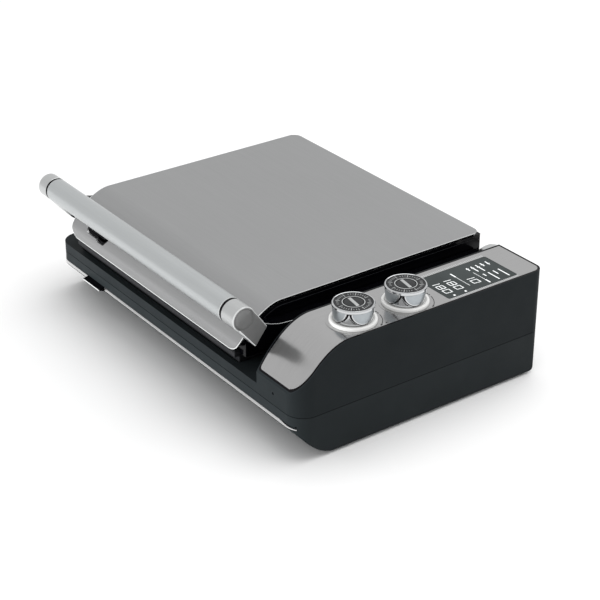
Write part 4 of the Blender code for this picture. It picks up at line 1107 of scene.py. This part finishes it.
def foot_rings():
    """Rubber pad of each foot, with a groove turned in its underside."""
    profile = [(0.0, 1.88), (8.8, 1.88), (9.7, 1.6), (10.0, 1.3), (9.8, 0.7), (9.2, 0.15), (8.8, 0.0),
               (6.6, 0.0), (6.3, 0.5), (5.5, 0.5), (5.2, 0.0), (0.0, 0.0)]
    for name in ("foot_front_left", "foot_front_right", "foot_rear_left", "foot_rear_right"):
        low, high = node_box(name)
        x, y, _ = (low + high) / 2
        pad = turned(f"{name}_pad", profile, (x, y, 0), steps=64)
        add(pad, "rubber", "base", [name])


def shaft_ends():
    """Turned collars either side of each hinge drum."""
    for side in ("left", "right"):
        low, high = node_box(f"{side}_hinge_drum")
        for k, x, away in ((0, low.x - 0.15, -1), (1, high.x + 0.15, 1)):
            end = x + away * 1.3
            profile = [(4.05, x), (7.4, x), (7.4, x + away * 0.9), (6.9, end), (4.05, end)]
            collar = turned(f"{side}_collar_{k}", profile, HINGE_AXIS, "X", 64, closed=True)
            add(collar, "steel", "hinge_carriage")


# ---- build

lower_casing()
upper_casing()
control_panel()
panel_outline()
knob_washers()
trim_strips()
display()
side_borders()
panel_prints()
for tag in KNOBS:
    knob(tag)
    dial(tag)
    button(tag)
    light_ring(tag)
lid_cover()
lid_edge()
lid_frame()
release_parts()
for side in ("left", "right"):
    arm(side)
    drum(side)
    bracket(side)
handle()
cap_faces()
lid_side_lines()
arm_painted_highlight_beads()
drip_tray()
waffle_plate("upper_waffle_plate", UPPER_PLATE_LOW.z, UPPER_PLATE_LOW.z + 14.5, False, "lid", 5.4)
waffle_plate("lower_waffle_plate", LOWER_PLATE_HIGH.z, LOWER_PLATE_LOW.z, True, "base")
seam_lines()
inlet_pins()
foot_rings()
shaft_ends()

for mat, names in {
    "steel": ("hinge_shaft", "hinge_tower_left", "hinge_tower_right", "tower_screw_left_0",
              "tower_screw_left_1", "tower_screw_right_0", "tower_screw_right_1", "encoder_front",
              "encoder_rear", "lower_heating_element", "upper_heating_element", "lower_reflector",
              "upper_reflector"),
    "black_matte": ("display_module", "power_inlet", "lower_plate_release"),
    "board": ("control_board", "power_board"),
}.items():
    for name in names:
        dress(nodes[name], mat)
for name in ("hinge_tower_left", "hinge_tower_right", "power_inlet", "lower_plate_release"):
    soften(nodes[name], 0.25, 2, 40)


# ---- stage

def area(name, place, target, size, power):
    """Rectangular light that faces a target. Places and sizes are in metres."""
    data = bpy.data.lights.new(name, "AREA")
    data.shape = "RECTANGLE"
    data.size, data.size_y = size
    data.energy = power
    light = spawn(name, data)
    light.location = place
    aim = Vector(target) - light.location
    light.rotation_euler = aim.to_track_quat("-Z", "Y").to_euler()
    return light


world = bpy.data.worlds.new("studio")
world.use_nodes = True
backdrop = world.node_tree.nodes["Background"]
backdrop.inputs["Color"].default_value = (1.0, 1.0, 1.0, 1.0)
backdrop.inputs["Strength"].default_value = 0.80
bpy.context.scene.world = world

floor_mesh = bpy.data.meshes.new("floor")
floor_mesh.from_pydata([(-12, -12, 0), (12, -12, 0), (12, 12, 0), (-12, 12, 0)], [], [(0, 1, 2, 3)])
floor = spawn("floor", floor_mesh)
surface("paper", (0.93, 0.93, 0.93), 0.9)
floor_mesh.materials.append(MATS["paper"])

lights = [area("top_soft", (0.3, 0.6, 2.0), (0, 0, 0.05), (2.4, 2.4), 30),
          area("front_soft", (-1.6, -1.8, 0.7), (-0.1, 0, 0.08), (1.2, 0.8), 5),
          area("low_front", (-0.5, -1.6, 0.22), (-0.1, -0.16, 0.05), (1.6, 0.3), 40)]
for light in lights[1:]:
    light.visible_glossy = False

# The low light shows the front of the hull without washing out the floor's shadow.
unlit = bpy.data.collections.new("not_lit_by_low_front")
unlit.objects.link(floor)
unlit.collection_objects[0].light_linking.link_state = "EXCLUDE"
lights[2].light_linking.receiver_collection = unlit

CAMERA_TURN, CAMERA_LIFT = 54.08, 28.14  # degrees
CAMERA_AIM, CAMERA_AWAY = Vector((0.0488, -0.0275, 0.060)), 1.7181

lens = bpy.data.cameras.new("camera")
lens.lens = 100.45
lens.sensor_width = 36.0
camera = spawn("camera", lens)
camera.rotation_euler = (math.radians(90 - CAMERA_LIFT), 0, math.radians(CAMERA_TURN))
camera.location = CAMERA_AIM + camera.rotation_euler.to_matrix() @ Vector((0, 0, CAMERA_AWAY))
bpy.context.scene.camera = camera
bpy.context.scene.view_settings.view_transform = "Standard"

bpy.context.view_layer.update()
